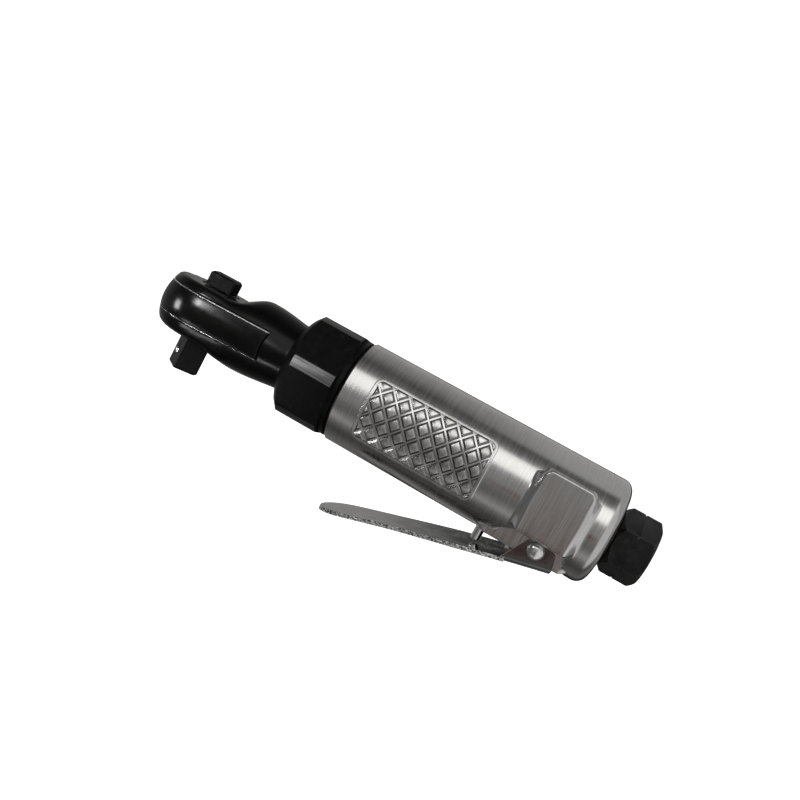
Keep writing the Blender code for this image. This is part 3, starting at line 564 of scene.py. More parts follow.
def grip_border():
    """The panel's round-cornered rectangle as half planes: (nx, ny, limit)."""
    u0, u1, v0, v1 = grip_extent()
    sides = [(1, 0, u1), (-1, 0, -u0), (0, 1, v1), (0, -1, -v0)]
    for turn in (22.5, 45, 67.5):
        for quarter in range(4):
            a = math.radians(turn + 90 * quarter)
            nx, ny = math.cos(a), math.sin(a)
            corner_u = (u1 if nx > 0 else u0) - math.copysign(GRIP_CORNER, nx)
            corner_v = (v1 if ny > 0 else v0) - math.copysign(GRIP_CORNER, ny)
            sides.append((nx, ny, corner_u * nx + corner_v * ny + GRIP_CORNER))
    return sides


def stud_polygon(centre, border, inset):
    """One diamond of the knurl, cut by the panel's border and moved in by an inset."""
    half_u, half_v = GRIP_PITCH_X / 2, GRIP_PITCH_S / 2
    length = math.hypot(half_u, half_v)
    nx, ny = half_v / length, half_u / length
    reach = half_u * half_v / length
    polygon = [(centre[0] + su * 0.01, centre[1] + sv * 0.01)
               for su, sv in ((-1, -1), (1, -1), (1, 1), (-1, 1))]
    for sx in (-1, 1):
        for sy in (-1, 1):
            limit = centre[0] * nx * sx + centre[1] * ny * sy + reach - inset
            polygon = clip(polygon, nx * sx, ny * sy, limit)
    for bx, by, limit in border:
        polygon = clip(polygon, bx, by, limit - inset)
    return polygon


def wrapped(u, v, height, side):
    """A point of the flat panel laid on the barrel's skin."""
    radius = barrel_radius(u) + height
    turn = v / barrel_radius((GRIP_X0 + GRIP_X1) / 2)
    return Vector((u, side * radius * math.cos(turn), radius * math.sin(turn)))


def add_stud(bm, centre, border, side):
    """A flat-topped stud; one cut short by the border is a low wedge."""
    foot = [(STUD_VALLEY, GRIP_ROOT), (STUD_VALLEY, 0.0)]
    shoulder = STUD_VALLEY + STUD_SLOPE
    levels = foot + [(shoulder, GRIP_HEIGHT), (shoulder + STUD_EDGE, GRIP_HEIGHT + 0.00004)]
    if len(stud_polygon(centre, border, levels[-1][0])) < 3:
        levels = foot + [(STUD_VALLEY + STUD_LEAST, GRIP_HEIGHT * 0.5)]
    verts = []
    for inset, height in levels:
        for u, v in stud_polygon(centre, border, inset):
            verts.append(bm.verts.new(wrapped(u, v, height, side)))
    if len(verts) < 7:
        bmesh.ops.delete(bm, geom=verts, context="VERTS")
        return
    made = bmesh.ops.convex_hull(bm, input=verts)
    spare = [item for item in made["geom_interior"] + made["geom_unused"]
             if isinstance(item, bmesh.types.BMVert)]
    bmesh.ops.delete(bm, geom=list(set(spare)), context="VERTS")


RIM_PROFILE = (              # out from the border, height over the barrel
    (-0.00012, GRIP_ROOT), (-0.00012, 0.00010), (0.00010, 0.00014), (0.00062, 0.00014),
    (0.00090, 0.00002), (0.00090, GRIP_ROOT),
)
RIM_STEP = 0.0015


def rim_path():
    """Points round the border, each with the direction that leads out of the panel."""
    u0, u1, v0, v1 = grip_extent()
    corners = []
    for quarter, (u, v) in enumerate(((u1, v1), (u0, v1), (u0, v0), (u1, v0))):
        su, sv = (1, 1, -1, -1)[(quarter + 1) % 4], (1, 1, -1, -1)[quarter]
        centre = (u - su * GRIP_CORNER, v - sv * GRIP_CORNER)
        for point in arc(centre, GRIP_CORNER, math.pi / 2 * quarter, math.pi / 2 * (quarter + 1), 6):
            corners.append((point, math.atan2(point[1] - centre[1], point[0] - centre[0])))
    path = []
    for (point, turn), (after, _) in zip(corners, corners[1:] + corners[:1]):
        path.append((point, turn))
        steps = int(math.hypot(after[0] - point[0], after[1] - point[1]) / RIM_STEP)
        for step in range(1, steps):
            share = step / steps
            path.append(((point[0] + (after[0] - point[0]) * share,
                          point[1] + (after[1] - point[1]) * share), turn))
    return path


def grip_rim(side):
    """A thin raised frame round the panel."""
    sections = []
    for (u, v), turn in rim_path():
        sections.append([wrapped(u + out * math.cos(turn), v + out * math.sin(turn), high, side)
                         for out, high in RIM_PROFILE])
    return loft(sections, ring=True)


def mark_flanks(panel):
    """The second material, a darker copy of the grip steel that paints shade on the studs' slopes, goes
    on what leans away from the barrel's own surface.
    """
    for face in panel.data.polygons:
        out = Vector((0, face.center.y, face.center.z - AXIS_Z)).normalized()
        face.material_index = 1 if face.normal.dot(out) < math.cos(FLANK_LEAN) else 0


def grip_panel(name, side, looks):
    bm = bmesh.new()
    border = grip_border()
    top_v = GRIP_FIRST_TURN * barrel_radius((GRIP_X0 + GRIP_X1) / 2)
    for row in range(GRIP_ROWS):
        for column in range(-1, GRIP_COLUMNS - 1):
            centre = (GRIP_FIRST_X + GRIP_PITCH_X * (column + (row % 2) / 2),
                      top_v - GRIP_PITCH_S / 2 * row)
            if len(stud_polygon(centre, border, STUD_LEAST)) > 2:
                add_stud(bm, centre, border, side)
    join(bm, grip_rim(side))
    panel = make(name, bm, looks, smooth=22)
    mark_flanks(panel)
    return piece(panel, "root", "housing_steel")


# ---- clamp nut ----
def blunted_hexagon():
    half = math.radians(30)
    side = (NUT_FLATS / 2 - NUT_CORNER * math.cos(half)) / math.sin(half)
    points = []
    for corner in range(6):
        turn = NUT_TWIST + corner * math.radians(60)
        for offset in (-side, side):
            points.append((NUT_CORNER * math.cos(turn) - offset * math.sin(turn),
                           NUT_CORNER * math.sin(turn) + offset * math.cos(turn)))
    return points


def mark_corner_flats(nut):
    """The second material, a lighter steel that paints a highlight, goes on the narrow flats at the
    nut's corners.
    """
    for face in nut.data.polygons:
        turn = math.degrees(math.atan2(face.normal.z, face.normal.y) - NUT_TWIST) % 60
        flat = abs(face.normal.x) < 0.05 and min(turn, 60 - turn) < 2
        height = math.hypot(face.center.y, face.center.z - AXIS_Z)
        face.material_index = 1 if flat and height > NUT_FLATS / 2 + 0.0008 else 0


def clamp_nut(black, painted_highlight):
    nut = make("nut_body", prism(blunted_hexagon(), NUT_X0, NUT_X1, "X"), [black, painted_highlight])
    ends = [(NUT_X0 - 0.001, 0), (NUT_X0 - 0.001, 0.0132), (NUT_X0, 0.0146), (0.0384, 0.0172),
            (0.0400, 0.0190), (0.0418, 0.0212), (0.0566, 0.0212), (NUT_X1, 0.0196),
            (NUT_X1 + 0.001, 0.0182), (NUT_X1 + 0.001, 0)]
    combine(nut, turned(ends, 144), "INTERSECT")
    collar = [(NUT_X1 - 0.004, 0), (NUT_X1 - 0.004, 0.0184), (0.0589, 0.0184), (0.0592, 0.0181),
              (0.0592, 0.0160), (0.0655, 0.0160), (0.0655, 0)]
    combine(nut, turned(collar, 96), "UNION")
    bore = [(0.035, 0), (0.035, 0.0129), (0.0450, 0.0129), (0.0450, 0.0146), (0.0670, 0.0146),
            (0.0670, 0)]
    combine(nut, turned(bore, 72))
    mark_corner_flats(nut)
    soften(nut, 0.00022)
    return piece(nut, "root", "black_oxide", "clamp_nut")


# ---- ratchet head and yoke ----
HEAD_HEIGHTS = (             # x, top, bottom, share of the section that is rounded
    (0.0000, HEAD_TOP, HEAD_LOW, 0.0), (0.0060, HEAD_TOP, HEAD_LOW, 0.0),
    (0.0090, 0.0090, -0.0120, 0.25), (0.0120, 0.0100, -0.0136, 0.5),
    (0.0150, 0.0122, -0.0144, 0.75), (0.0185, 0.0141, -0.0145, 1.0),
    (0.0230, 0.0141, -0.0142, 1.0), (0.0280, 0.0136, -0.0136, 1.0),
    (0.0365, NECK_R, -NECK_R, 1.0),
)


def smooth_between(value, column):
    """Reads a column of the heights, eased by averaging over a short length."""
    table = [(row[0], row[column]) for row in HEAD_HEIGHTS]
    reach = 0.0016
    offsets = (-1.0, -0.5, 0.0, 0.5, 1.0)
    return sum(between(value + reach * k, table) for k in offsets) / len(offsets)


def crown_radius(height):
    """Plan radius of the nose at a height: crowned, with rounded edges."""
    radius = HEAD_R - HEAD_CROWN * (height - HEAD_MIDDLE) ** 2
    edge = TOP_EDGE if height > HEAD_MIDDLE else LOW_EDGE
    past = max(height - (HEAD_TOP - edge), (HEAD_LOW + edge) - height, 0.0)
    past = min(past, edge)
    return radius - (edge - math.sqrt(edge ** 2 - past ** 2))


def side_of_head(x, height):
    radius = crown_radius(height)
    if x < radius * math.sin(HEAD_TAPER):
        return math.sqrt(max(0.0, radius ** 2 - x ** 2))
    return radius / math.cos(HEAD_TAPER) - x * math.tan(HEAD_TAPER)


def head_radius(x, angle, middle_z, top, low, share):
    """Reach from the middle of a section to the head's skin."""
    inside, outside = 0.0, 0.03
    stretch = (top - low) / (HEAD_TOP - HEAD_LOW)
    for _ in range(24):
        reach = (inside + outside) / 2
        y, z = abs(reach * math.cos(angle)), middle_z + reach * math.sin(angle)
        level = HEAD_LOW + (z - low) / stretch
        if HEAD_LOW <= level <= HEAD_TOP and y <= side_of_head(x, level):
            inside = reach
        else:
            outside = reach
    wide = NECK_R if x > 0.0365 else side_of_head(x, HEAD_MIDDLE) * (1 - 0.055 * share)
    tall = (top - low) / 2
    oval = 1 / math.hypot(math.cos(angle) / wide, math.sin(angle) / tall)
    return inside * (1 - share) + oval * share


def head_sections():
    turns = [2 * math.pi * (k + 0.5) / 112 for k in range(112)]
    nose = [-HEAD_R * math.cos(math.radians(a)) for a in (3, 7, 12, 17, 23, 29, 36, 43, 51, 60, 70, 80)]
    stations = nose + spread(0.0, 0.0365, 0.0010)
    sections = []
    for x in stations:
        if x < 0:
            top, low, share = HEAD_TOP, HEAD_LOW, 0.0
        else:
            top, low, share = (smooth_between(x, column) for column in (1, 2, 3))
        centre = (top + low) / 2 if x > -0.0170 else HEAD_MIDDLE
        section = []
        for a in turns:
            reach = max(0.0002, head_radius(x, a, centre, top, low, share))
            section.append((x, reach * math.cos(a), centre + reach * math.sin(a)))
        sections.append(section)
    for x, radius in ((0.0453, NECK_R), (0.0454, 0.0142), (NECK_END, 0.0142)):
        sections.append([(x, radius * math.cos(a), radius * math.sin(a)) for a in turns])
    return sections


def skin_side(x, height):
    """Half width of the head's skin at a height."""
    top, low, share = (smooth_between(x, column) for column in (1, 2, 3))
    centre = (top + low) / 2
    under, over = -1.4, 1.4
    for _ in range(22):
        turn = (under + over) / 2
        reach = head_radius(x, turn, centre, top, low, share)
        if centre + reach * math.sin(turn) < height:
            under = turn
        else:
            over = turn
    return reach * math.cos(turn)


def seam_flare(height, way):
    """A bar along the mouth of the yoke's slot that breaks the ear's edge."""
    radius = crown_radius(height)
    stations = [0.0271 - 0.0271 * k / 18 for k in range(18)]
    side = [(x, skin_side(x, height), 0.13, 0.99) for x in stations]
    nose = [(u, v, u / radius, v / radius)
            for u, v in arc((0, 0), radius, math.radians(88), math.radians(272), 44)]
    path = side + nose + [(x, -y, nx, -ny) for x, y, nx, ny in reversed(side)]
    sections = []
    for x, y, nx, ny in path:
        corners = ((0.003, -0.0001), (0.003, SEAM_EDGE), (0.0, SEAM_EDGE),
                   (-0.3 * SEAM_EDGE, 0.35 * SEAM_EDGE), (-SEAM_EDGE, 0.0), (-SEAM_EDGE, -0.0001))
        sections.append([(x + out * nx, y + out * ny, height + way * up) for out, up in corners])
    return loft(sections)


def mark_seam_highlight(obj, low, high):
    """The second material goes on the upward edge of a seam: a lighter steel that paints the highlight
    these edges catch from the light above.
    """
    for face in obj.data.polygons:
        inside = low < face.center.z - AXIS_Z < high
        face.material_index = 1 if inside and 0.1 < face.normal.z < 0.95 else 0


def ratchet_head(black, painted_highlight):
    head = make("head_body", loft(head_sections()), [black, painted_highlight], smooth=50)
    combine(head, seam_flare(SLOT_TOP, 1), smooth=50)
    combine(head, seam_flare(SLOT_LOW, -1), smooth=50)
    combine(head, rod(SLOT_LOW, SLOT_TOP, SLOT_R, 160, "Z"), smooth=50)
    combine(head, rod(SLOT_TOP - 0.002, HEAD_TOP + 0.002, 0.0074, 72, "Z"), smooth=50)
    combine(head, rod(HEAD_LOW - 0.002, SLOT_LOW + 0.002, 0.0115, 72, "Z"), smooth=50)
    shaft = [(0.0270, 0), (0.0270, 0.0053), (0.0330, 0.0053), (0.0330, 0.0075), (0.0520, 0.0075),
             (0.0520, 0)]
    combine(head, turned(shaft, 48), smooth=50)
    mark_seam_highlight(head, SLOT_LOW - SEAM_EDGE - 0.0001, SLOT_LOW)
    return piece(head, "root", "head_black", "ratchet_housing")


def yoke_outline(radius, tail):
    """Round nose, straight tapered sides, and a tail that is an arc about the drive's axis."""
    side = math.sqrt(tail ** 2 - radius ** 2) - YOKE_CORNER
    corner = (radius * math.sin(HEAD_TAPER) + side * math.cos(HEAD_TAPER),
              radius * math.cos(HEAD_TAPER) - side * math.sin(HEAD_TAPER))
    turn = math.atan2(corner[1], corner[0]) - YOKE_CORNER / tail
    start = math.pi / 2 - HEAD_TAPER
    return (arc((0, 0), radius, start, 2 * math.pi - start, 80) + [(corner[0], -corner[1])]
            + arc((0, 0), tail, -turn, turn, 24) + [corner])


def yoke(black, painted_highlight):
    low, high = SLOT_LOW + SEAM_GAP, SLOT_TOP - SEAM_GAP
    levels = []
    for step in range(5):
        turn = math.radians(22.5 * step)
        levels.append((low + SEAM_EDGE * (1 - math.cos(turn)), SEAM_EDGE * (1 - math.sin(turn))))
    middle_levels = [(low + SEAM_EDGE + (high - low - 2 * SEAM_EDGE) * k / 8, 0) for k in range(1, 8)]
    upper = [(high + low - z, inset) for z, inset in reversed(levels)]
    sections = []
    for z, inset in levels + middle_levels + upper:
        outline = yoke_outline(crown_radius(z) - 0.0001 - inset, SLOT_R - SEAM_GAP - inset)
        sections.append([(u, v, z) for u, v in outline])
    body = make("yoke_body", loft(sections), [black, painted_highlight], smooth=50)
    pitch = 2 * math.pi / 60
    teeth = []
    for tooth in range(60):
        for radius, offset in ((0.0112, 0.0), (0.0118, 0.5)):
            turn = pitch * (tooth + offset)
            teeth.append((radius * math.cos(turn), radius * math.sin(turn)))
    combine(body, prism(teeth, low - 0.001, high + 0.001), smooth=50)
    fork = [(0.0190, -0.0064), (0.0400, -0.0064), (0.0400, 0.0064), (0.0190, 0.0064)]
    combine(body, prism(fork, low - 0.001, high + 0.001), smooth=50)
    mark_seam_highlight(body, high - SEAM_EDGE, high)
    return piece(body, "yoke", "head_black", "ratchet_yoke")


# ---- drive and knob ----
def ball(steel):
    low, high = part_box("detent_ball")
    centre = (low + high) / 2
    radius = (high.z - low.z) / 2
    bm = bmesh.new()
    bmesh.ops.create_uvsphere(bm, u_segments=40, v_segments=24, radius=radius)
    bmesh.ops.translate(bm, verts=bm.verts, vec=(centre.x, centre.y, centre.z - AXIS_Z))
    return piece(make("drive_ball", bm, [steel]), "detent", "polished_steel", "detent_ball")


def valve_stem(steel):
    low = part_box("throttle_valve")[0].z - AXIS_Z
    profile = [(low, 0), (low, 0.0011), (low + 0.00025, 0.0015), (low + 0.0006, 0.00175),
               (-0.0089, 0.00175), (-0.0089, 0.0039), (-0.0066, 0.0039), (-0.0066, 0)]
    stem = make("stem_body", turned(profile, 40, "Z", (STEM_X, 0)), [steel])
    return piece(stem, "valve", "polished_steel", "throttle_valve")


# ---- lever ----
def blade_top(x):
    back = BLADE_REAR_X - x
    return BLADE_REAR_Z - 0.2371 * back - 0.53 * back * back


def blade_half_width(x):
    width = between(x, ((0.0700, 0.0098), (0.0950, 0.0105), (0.1180, EAR_Y), (0.1500, EAR_Y)))
    if x < TIP_ROUND_X:
        past = (TIP_ROUND_X - x) / (TIP_ROUND_X - BLADE_TIP_X)
        width *= math.sqrt(max(0.0, 1 - past ** 2))
    return max(width, 0.0004)


def lever_blade():
    tip = [TIP_ROUND_X + (BLADE_TIP_X - TIP_ROUND_X) * math.cos(math.radians(a))
           for a in range(2, 90, 8)]
    sections = []
    for x in tip + spread(TIP_ROUND_X, EAR_FRONT_X + 0.0012, 0.0035):
        half, top = blade_half_width(x), blade_top(x)
        sections.append([(x, -half, top), (x, half, top),
                         (x, half, top - LEVER_T), (x, -half, top - LEVER_T)])
    return loft(sections)


def channel_section(x, top):
    """The folded rear of the lever: a web with two ears, bent up on a radius."""
    outer, inner = 0.0026, 0.0011
    web = blade_top(x) - LEVER_T
    right = [(EAR_Y, top)]
    right += [(EAR_Y - outer + u, web + outer + v)
              for u, v in arc((0, 0), outer, 0, -math.pi / 2, 6)]
    left = [(-y, z) for y, z in reversed(right)]
    inside = [(-EAR_Y + LEVER_T, top)]
    inside += [(-EAR_Y + LEVER_T + inner + u, web + LEVER_T + inner + v)
               for u, v in arc((0, 0), inner, math.pi, 1.5 * math.pi, 6)]
    back = [(-y, z) for y, z in reversed(inside)]
    return [(x, y, z) for y, z in right + left + inside + back]


def ear_profile():
    """The ears' side view, with a round top over the pin."""
    low = -0.0275
    front_z = blade_top(EAR_FRONT_X) - LEVER_T
    points = [(EAR_FRONT_X - 0.0004, low), (EAR_FRONT_X - 0.0004, front_z + LEVER_T * 0.9)]
    points += arc((PIN_X - 0.0030, PIN_Z + 0.0013), 0.0012, math.radians(135), math.radians(90), 4)
    points += arc((PIN_X + 0.0052, PIN_Z + 0.0009), 0.0016, math.radians(80), math.radians(10), 5)
    points += [(PIN_X + 0.0078, PIN_Z - 0.0036), (BLADE_REAR_X - 0.0002, low)]
    return points


def lever(steel, sheared, ear):
    stations = spread(EAR_FRONT_X - 0.0006, PIN_X + 0.0090, 0.0016)
    sections = [channel_section(x, PIN_Z + 0.0040) for x in stations]
    body = make("lever_body", loft(sections), [steel, sheared, ear])
    combine(body, prism(ear_profile(), -0.02, 0.02, "Y"), "INTERSECT")
    combine(body, lever_blade(), "UNION")
    combine(body, rod(-0.02, 0.02, 0.0019, 32, "Y", (PIN_X, PIN_Z)))
    # Faces towards ±Y: the blade's sheared edges, and the ears' sides, which take a darker copy of the
    # lever steel as painted shade.
    for face in body.data.polygons:
        if abs(face.normal.y) > 0.6:
            face.material_index = 1 if face.center.x < EAR_FRONT_X else 2
    soften(body, 0.00018)
    return piece(body, "lever", "polished_steel", "throttle_lever")


def rivet(steel):
    flat = EAR_Y + 0.0003
    rim = [(flat + 0.00025, 0.0031), (flat, 0.0031)]
    dome = [(flat + 0.00025 + 0.00175 * math.sin(math.radians(a)), 0.0031 * math.cos(math.radians(a)))
            for a in range(0, 90, 10)]
    dome.append((flat + 0.0020, 0))
    near = [(flat, 0.0016), rim[1]] + dome
    far = [(-along, radius) for along, radius in reversed(near)]
    pin = make("rivet_body", turned(far + near, 48, "Y", (PIN_X, PIN_Z)), [steel])
    return piece(pin, "root", "polished_steel", "lever_pin")


# ---- inlet bushing ----
def inlet(black, wear_and_highlight):
    corner = HEX_FLATS / 2 / math.cos(math.radians(30))
    angles = [HEX_TWIST + math.radians(30 + 60 * k) for k in range(6)]
    hexagon = [(corner * math.cos(a), corner * math.sin(a)) for a in angles]
    body = make("inlet_body", prism(hexagon, HEX_X0, HEX_X1, "X"), [black, wear_and_highlight])
    ends = [(HEX_X0 - 0.001, 0), (HEX_X0 - 0.001, 0.0092), (HEX_X0, 0.0103),
            (HEX_X0 + 0.0022, 0.0126), (0.16865, 0.0126), (0.16880, 0.01195), (0.16920, 0.01195),
            (0.16935, 0.0126), (HEX_X1 - 0.0016, 0.0126), (HEX_X1, 0.0103),
            (HEX_X1 + 0.001, 0.0091), (HEX_X1 + 0.001, 0)]
    combine(body, turned(ends, 144), "INTERSECT")
    combine(body, rod(0.1480, 0.1640, 0.0078, 64), "UNION")
    floor_x, pitch = 0.1605, 0.0014
    bore = [(0.1470, 0), (0.1470, 0.0036), (floor_x, 0.0036), (floor_x, INLET_R)]
    for thread in range(9):
        start = floor_x + 0.0018 + pitch * thread
        bore += [(start, INLET_R), (start + pitch * 0.5, INLET_R + 0.0005)]
    bore += [(HEX_X1 - 0.0006, INLET_R + 0.0002), (HEX_X1 + 0.0004, INLET_R + 0.0012),
             (HEX_X1 + 0.0004, 0)]
    combine(body, turned(bore, 64))
    soften(body, 0.00014, slot=1)
    return piece(body, "root", "black_oxide", "inlet_bushing")


# ---- CAD nodes that keep their shape ----
def dress(names, look, softened=0.0):
    for name in names:
        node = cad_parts[name]
        node.data.materials.clear()
        node.data.materials.append(look)
        if softened:
            soften(node, softened)


# ---- studio ----
FLOOR_RADIUS, FLOOR_CURVE, FLOOR_WALL = 0.7, 0.5, 4.0
FLOOR_DROP, FLOOR_X = 0.0004, 0.08
FLOOR_GLOW = 1.08


def floor_bowl():
    """A pale floor that curves up into a wall all round."""
    level = cad_box[0].z - FLOOR_DROP
    profile = [(0.0, 0.0), (0.25, 0.0), (FLOOR_RADIUS, 0.0)]
    profile += [(FLOOR_RADIUS + u, FLOOR_CURVE + v)
                for u, v in arc((0, 0), FLOOR_CURVE, -math.pi / 2, 0, 12)]
    profile += [(FLOOR_RADIUS + FLOOR_CURVE, FLOOR_WALL)]
    bm = bmesh.new()
    steps = 96
    rings = []
    for radius, height in profile:
        turns = [2 * math.pi * k / steps for k in range(steps if radius else 1)]
        rings.append([bm.verts.new((FLOOR_X + radius * math.cos(a), radius * math.sin(a),
                                    level + height)) for a in turns])
    for first, second in zip(rings, rings[1:]):
        bridge(bm, first, second)
    mesh = bpy.data.meshes.new("floor")
    bm.to_mesh(mesh)
    bm.free()
    mesh.shade_smooth()
    look = Look("floor_pale", grey(0.82), 0.0, 0.9, 0.2)
    look.colours(look.ranged(look.noise((9, 9, 9), 2.0), 0, 1), (0.0, grey(0.81)), (1.0, grey(0.83)))
    look.shader.inputs["Emission Color"].default_value = (1, 1, 1, 1)
    look.shader.inputs["Emission Strength"].default_value = FLOOR_GLOW
    mesh.materials.append(look.material)
    bowl = bpy.data.objects.new("floor", mesh)
    bpy.context.scene.collection.objects.link(bowl)
    bowl.visible_glossy = False
    bowl.visible_diffuse = False
    bowl.visible_shadow = False


WORLD_BANDS = (          # degrees round the barrel, from straight behind under it, and grey level
    (-180, 0.22), (-160, 0.30), (-145, 0.28), (-130, 0.17), (-106, 0.10), (-92, 0.06), (-80, 0.09),
    (-68, 0.18), (-58, 0.40), (-48, 0.25), (-36, 0.14), (-24, 0.16), (-10, 0.30), (2, 0.28),
    (14, 0.34), (20, 0.60), (25, 1.50), (40, 1.62), (52, 1.45), (57, 0.36), (64, 0.17),
    (84, 0.07), (98, 0.16), (112, 0.26), (134, 0.34), (150, 0.42), (164, 0.36), (180, 0.22),
)
WORLD_STRENGTH = 2.0         # the levels are divided by it and stay below 1
WORLD_ENDS, WORLD_END_LEVEL = (0.72, 0.98), 0.30
WORLD_FRONT = (0.05, -0.25)
WORLD_LEFT, WORLD_LEFT_LEVEL = (-0.22, -0.40), 0.13
WORLD_RIGHT, WORLD_RIGHT_LEVEL = (0.16, 0.42), 0.68
WORLD_REAR, WORLD_REAR_LEVEL = (-0.12, 0.06), 0.44
WORLD_REAR_TURNS = (math.radians(80), math.radians(92))
WORLD_BEHIND, WORLD_BEHIND_LEVEL = (-0.27, -0.08), 0.020
WORLD_BEHIND_DEPTH, WORLD_BEHIND_HEIGHT = (0.5, 0.8), (0.30, 0.18)
BROWN_WAY, BROWN_SPREAD = (0.055, -0.965, -0.225), (0.9935, 0.9985)
BROWN = (0.060, 0.036, 0.030)


class Sky:
    """The world's node tree, with short ways to shade it by direction."""

    def __init__(self, name):
        world = bpy.data.worlds.new(name)
        bpy.context.scene.world = world
        world.use_nodes = True
        self.tree = world.node_tree
        self.way = self.tree.nodes.new("ShaderNodeTexCoord").outputs["Generated"]
        split = self.tree.nodes.new("ShaderNodeSeparateXYZ")
        self.tree.links.new(self.way, split.inputs["Vector"])
        self.x, self.y, self.z = (split.outputs[axis] for axis in "XYZ")

    def math(self, operation, first, second=0):
        made = self.tree.nodes.new("ShaderNodeMath")
        made.operation = operation
        for socket, value in zip(made.inputs, (first, second)):
            if isinstance(value, (int, float)):
                socket.default_value = value
            else:
                self.tree.links.new(value, socket)
        return made.outputs["Value"]

    def rise(self, value, limits):
        """0 at the first limit, 1 at the second, and a smooth rise between."""
        made = self.tree.nodes.new("ShaderNodeMapRange")
        made.interpolation_type = "SMOOTHSTEP"
        made.inputs["From Min"].default_value, made.inputs["From Max"].default_value = limits
        self.tree.links.new(value, made.inputs["Value"])
        return made.outputs["Result"]

    def towards(self, way, limits):
        """1 close to a direction, 0 further off, by the limits of the cosine."""
        made = self.tree.nodes.new("ShaderNodeVectorMath")
        made.operation = "DOT_PRODUCT"
        made.inputs[1].default_value = Vector(way).normalized()
        self.tree.links.new(self.way, made.inputs[0])
        return self.rise(made.outputs["Value"], limits)

    def mixed(self, factor, light, colour):
        made = self.tree.nodes.new("ShaderNodeMix")
        made.data_type = "RGBA"
        self.tree.links.new(factor, made.inputs["Factor"])
        self.tree.links.new(light, made.inputs[6])
        made.inputs[7].default_value = (*colour, 1)
        return made.outputs[2]

    def bands(self, around):
        """The grey levels round the barrel, from an angle in radians."""
        made = self.tree.nodes.new("ShaderNodeValToRGB")
        ramp = made.color_ramp
        ramp.interpolation = "LINEAR"
        while len(ramp.elements) < len(WORLD_BANDS):
            ramp.elements.new(0.5)
        for element, (degrees, level) in zip(ramp.elements, WORLD_BANDS):
            element.position = degrees / 360 + 0.5
            element.color = (*grey(level / WORLD_STRENGTH, 0.012), 1)
        share = self.math("ADD", self.math("DIVIDE", around, 2 * math.pi), 0.5)
        self.tree.links.new(share, made.inputs["Fac"])
        return made.outputs["Color"]


def studio_world():
    """Soft bands of light round the tool's long axis, changed towards its ends and sides."""
    sky = Sky("studio")
    around = sky.math("ARCTAN2", sky.z, sky.math("MULTIPLY", sky.y, -1))
    front = sky.rise(sky.y, WORLD_FRONT)
    behind = sky.math("MULTIPLY", sky.rise(sky.y, WORLD_BEHIND_DEPTH),
                      sky.math("MULTIPLY", sky.rise(sky.x, WORLD_BEHIND),
                               sky.rise(sky.z, WORLD_BEHIND_HEIGHT)))
    parts = (
        (sky.rise(sky.math("ABSOLUTE", sky.x), WORLD_ENDS), WORLD_END_LEVEL),
        (sky.math("MULTIPLY", front, sky.rise(sky.x, WORLD_LEFT)), WORLD_LEFT_LEVEL),
        (sky.math("MULTIPLY", sky.rise(around, WORLD_REAR_TURNS), sky.rise(sky.x, WORLD_REAR)),
         WORLD_REAR_LEVEL),
        (behind, WORLD_BEHIND_LEVEL),
        (sky.math("MULTIPLY", front, sky.rise(sky.x, WORLD_RIGHT)), WORLD_RIGHT_LEVEL),
    )
    light = sky.bands(around)
    for factor, level in parts:
        light = sky.mixed(factor, light, grey(level / WORLD_STRENGTH))
    light = sky.mixed(sky.towards(BROWN_WAY, BROWN_SPREAD), light, BROWN)
    background = sky.tree.nodes["Background"]
    background.inputs["Strength"].default_value = WORLD_STRENGTH
    sky.tree.links.new(light, background.inputs["Color"])


LAMPS = (       # bearing from -Y to +X, elevation, distance, size, radiance, X aimed at, beam
    ("nose_light", -13, 17, 0.13, (0.036, 0.034), 62.0, 0.0, 40),
    ("nose_side_light", -54, -9, 0.13, (0.030, 0.034), 48.0, 0.0, 50),
    ("nose_low_light", -24, -40, 0.13, (0.050, 0.018), 22.0, 0.0, 40),
    ("ear_light", -4, -46, 0.13, (0.050, 0.012), 16.0, 0.010, 34),
    ("neck_light", -10, 12, 0.13, (0.024, 0.024), 12.0, 0.034, 24),
    ("left_glow", -15, 17, 0.55, (0.10, 0.08), 5.0, 0.0, 170),
)


def softbox(name, bearing, elevation, distance, size, radiance, aim_x, beam):
    """An area light that faces a point of the barrel's centreline, with a beam in degrees."""
    turn, up = math.radians(bearing), math.radians(elevation)
    way = Vector((math.sin(turn) * math.cos(up), -math.cos(turn) * math.cos(up), math.sin(up)))
    lamp = bpy.data.lights.new(name, "AREA")
    lamp.shape = "RECTANGLE"
    lamp.size, lamp.size_y = size
    lamp.spread = math.radians(beam)
    half = math.radians(beam / 2)
    lamp.energy = radiance * size[0] * size[1] * math.pi * (1 - half / math.tan(half))
    made = bpy.data.objects.new(name, lamp)
    made.location = Vector((aim_x, 0.0, AXIS_Z)) + way * distance
    made.rotation_euler = way.to_track_quat("Z", "Y").to_euler()
    made.visible_camera = False
    bpy.context.scene.collection.objects.link(made)


CAMERA_PLACE, CAMERA_TARGET = Vector((0.1258, -0.3213, 0.0657)), Vector((0.0768, 0.0, 0.0291))
CAMERA_ROLL, CAMERA_LENS, CAMERA_SENSOR = math.radians(28.19), 41.96, 36.0


def camera():
    data = bpy.data.cameras.new("camera")
    data.lens, data.sensor_width = CAMERA_LENS, CAMERA_SENSOR
    data.clip_start, data.clip_end = 0.01, 20.0
    made = bpy.data.objects.new("camera", data)
    aim = (CAMERA_TARGET - CAMERA_PLACE).to_track_quat("-Z", "Y").to_matrix().to_4x4()
    made.matrix_world = Matrix.Translation(CAMERA_PLACE) @ aim @ Matrix.Rotation(CAMERA_ROLL, 4, "Z")
    bpy.context.scene.collection.objects.link(made)
    bpy.context.scene.camera = made


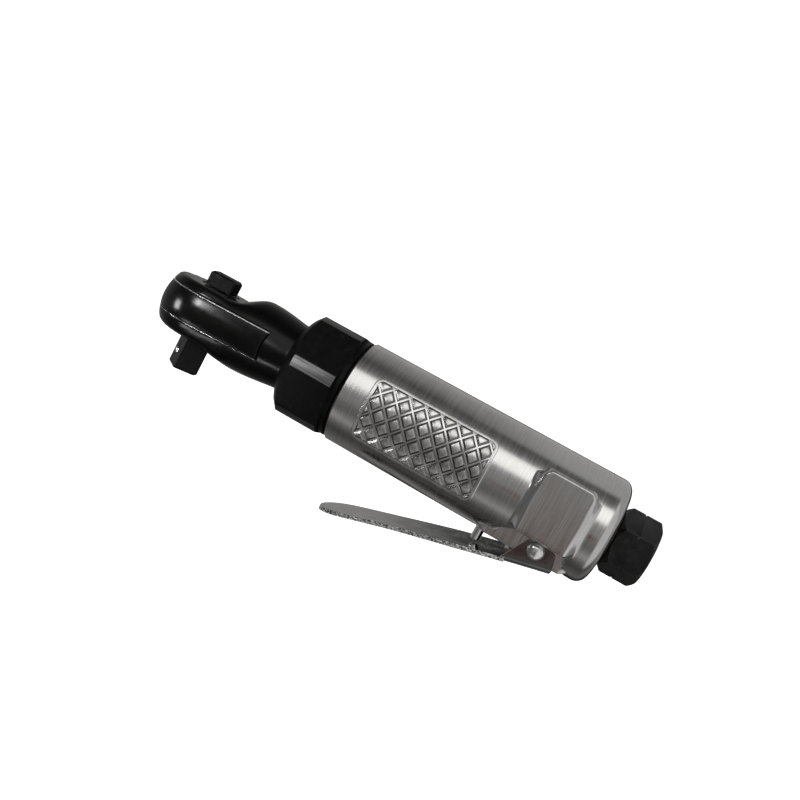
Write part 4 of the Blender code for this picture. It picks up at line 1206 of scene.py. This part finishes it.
# ---- the whole ----
TURNED_STEEL = (
    "motor_cylinder", "front_end_plate", "rear_end_plate", "ring_gear", "gear_spacer",
    "valve_spring", "cylinder_dowel", "retaining_ring", "rotor", "crank_shaft", "planet_pin_1",
    "planet_pin_2", "planet_pin_3", "planet_gear_1", "planet_gear_2", "planet_gear_3", "pawl_pin",
    "detent_spring", "ratchet_pawl", "reverse_plunger",
)
SINTERED = ("inlet_screen", "crank_bearing", "valve_guide", "valve_seat", "thrust_washer",
            "crank_bushing")
VANES = ("vane_1", "vane_2", "vane_3", "vane_4", "vane_5")


def main():
    steel, gloss = brushed_steel(), gloss_black()
    oxide, painted_highlight, polished = black_oxide(), wear_and_highlight_steel(), polished_steel()
    machined = plain("machined_steel_turned", 1.0, 0.3, (1800, 60, 60), grey(0.36), grey(0.52), 0.00003)
    laminate = plain("vane_laminate", 0.0, 0.6, (60, 1500, 1500), (0.13, 0.065, 0.03),
                     (0.26, 0.14, 0.07), 0.00004)
    rubber = plain("seal_rubber_matt", 0.0, 0.7, (500, 500, 500), grey(0.014), grey(0.035), 0.00005,
                   3.0, 0.6)
    housing(steel, black_oxide("bore_dark_steel"))
    # The flanks' copy of the grip steel is darker, tone 0.36: painted shade on the knurl's slopes.
    grip_looks = [cast_steel("grip_steel", 1.0), cast_steel("grip_flanks_painted_shade", 0.36)]
    grip_panel("grip_panel_near", -1, grip_looks)
    grip_panel("grip_panel_far", 1, grip_looks)
    # The nut's corner flats take the lighter steel: a painted highlight.
    clamp_nut(oxide, painted_highlight)
    # A lighter steel on the upward seam edges of head and yoke: painted highlight.
    wear_and_highlight = wear_and_highlight_steel("seam_painted_highlight", 2.2)
    ratchet_head(gloss, wear_and_highlight)
    yoke(gloss, wear_and_highlight)
    ball(polished)
    valve_stem(polished)
    # The ears' polished steel, tone 0.26 against the blade's 0.62, is painted shade.
    lever(polished_steel("lever_steel_polished", 0.62), sheared_steel(),
          polished_steel("lever_ear_painted_shade", 0.26))
    rivet(polished)
    inlet_black = black_oxide("inlet_oxide_satin", 0.00004, level=0.32, tone=2.0, rough=0.24)
    inlet(inlet_black, wear_and_highlight_steel("rubbed_corner_steel", 0.9))
    dress(["reverse_knob"], black_oxide("knob_oxide_rough", 0.00012, 1.6, level=0.06), 0.0003)
    dress(["drive_anvil"], oxide, 0.0002)
    dress(TURNED_STEEL, machined)
    dress(["front_bearing", "rear_bearing"], polished)
    dress(SINTERED, bronze())
    dress(VANES, laminate)
    dress(["inlet_seal", "motor_gasket"], rubber)
    studio_world()
    floor_bowl()
    for lamp in LAMPS:
        softbox(*lamp)
    camera()
    bpy.context.scene.view_settings.view_transform = "Standard"


main()
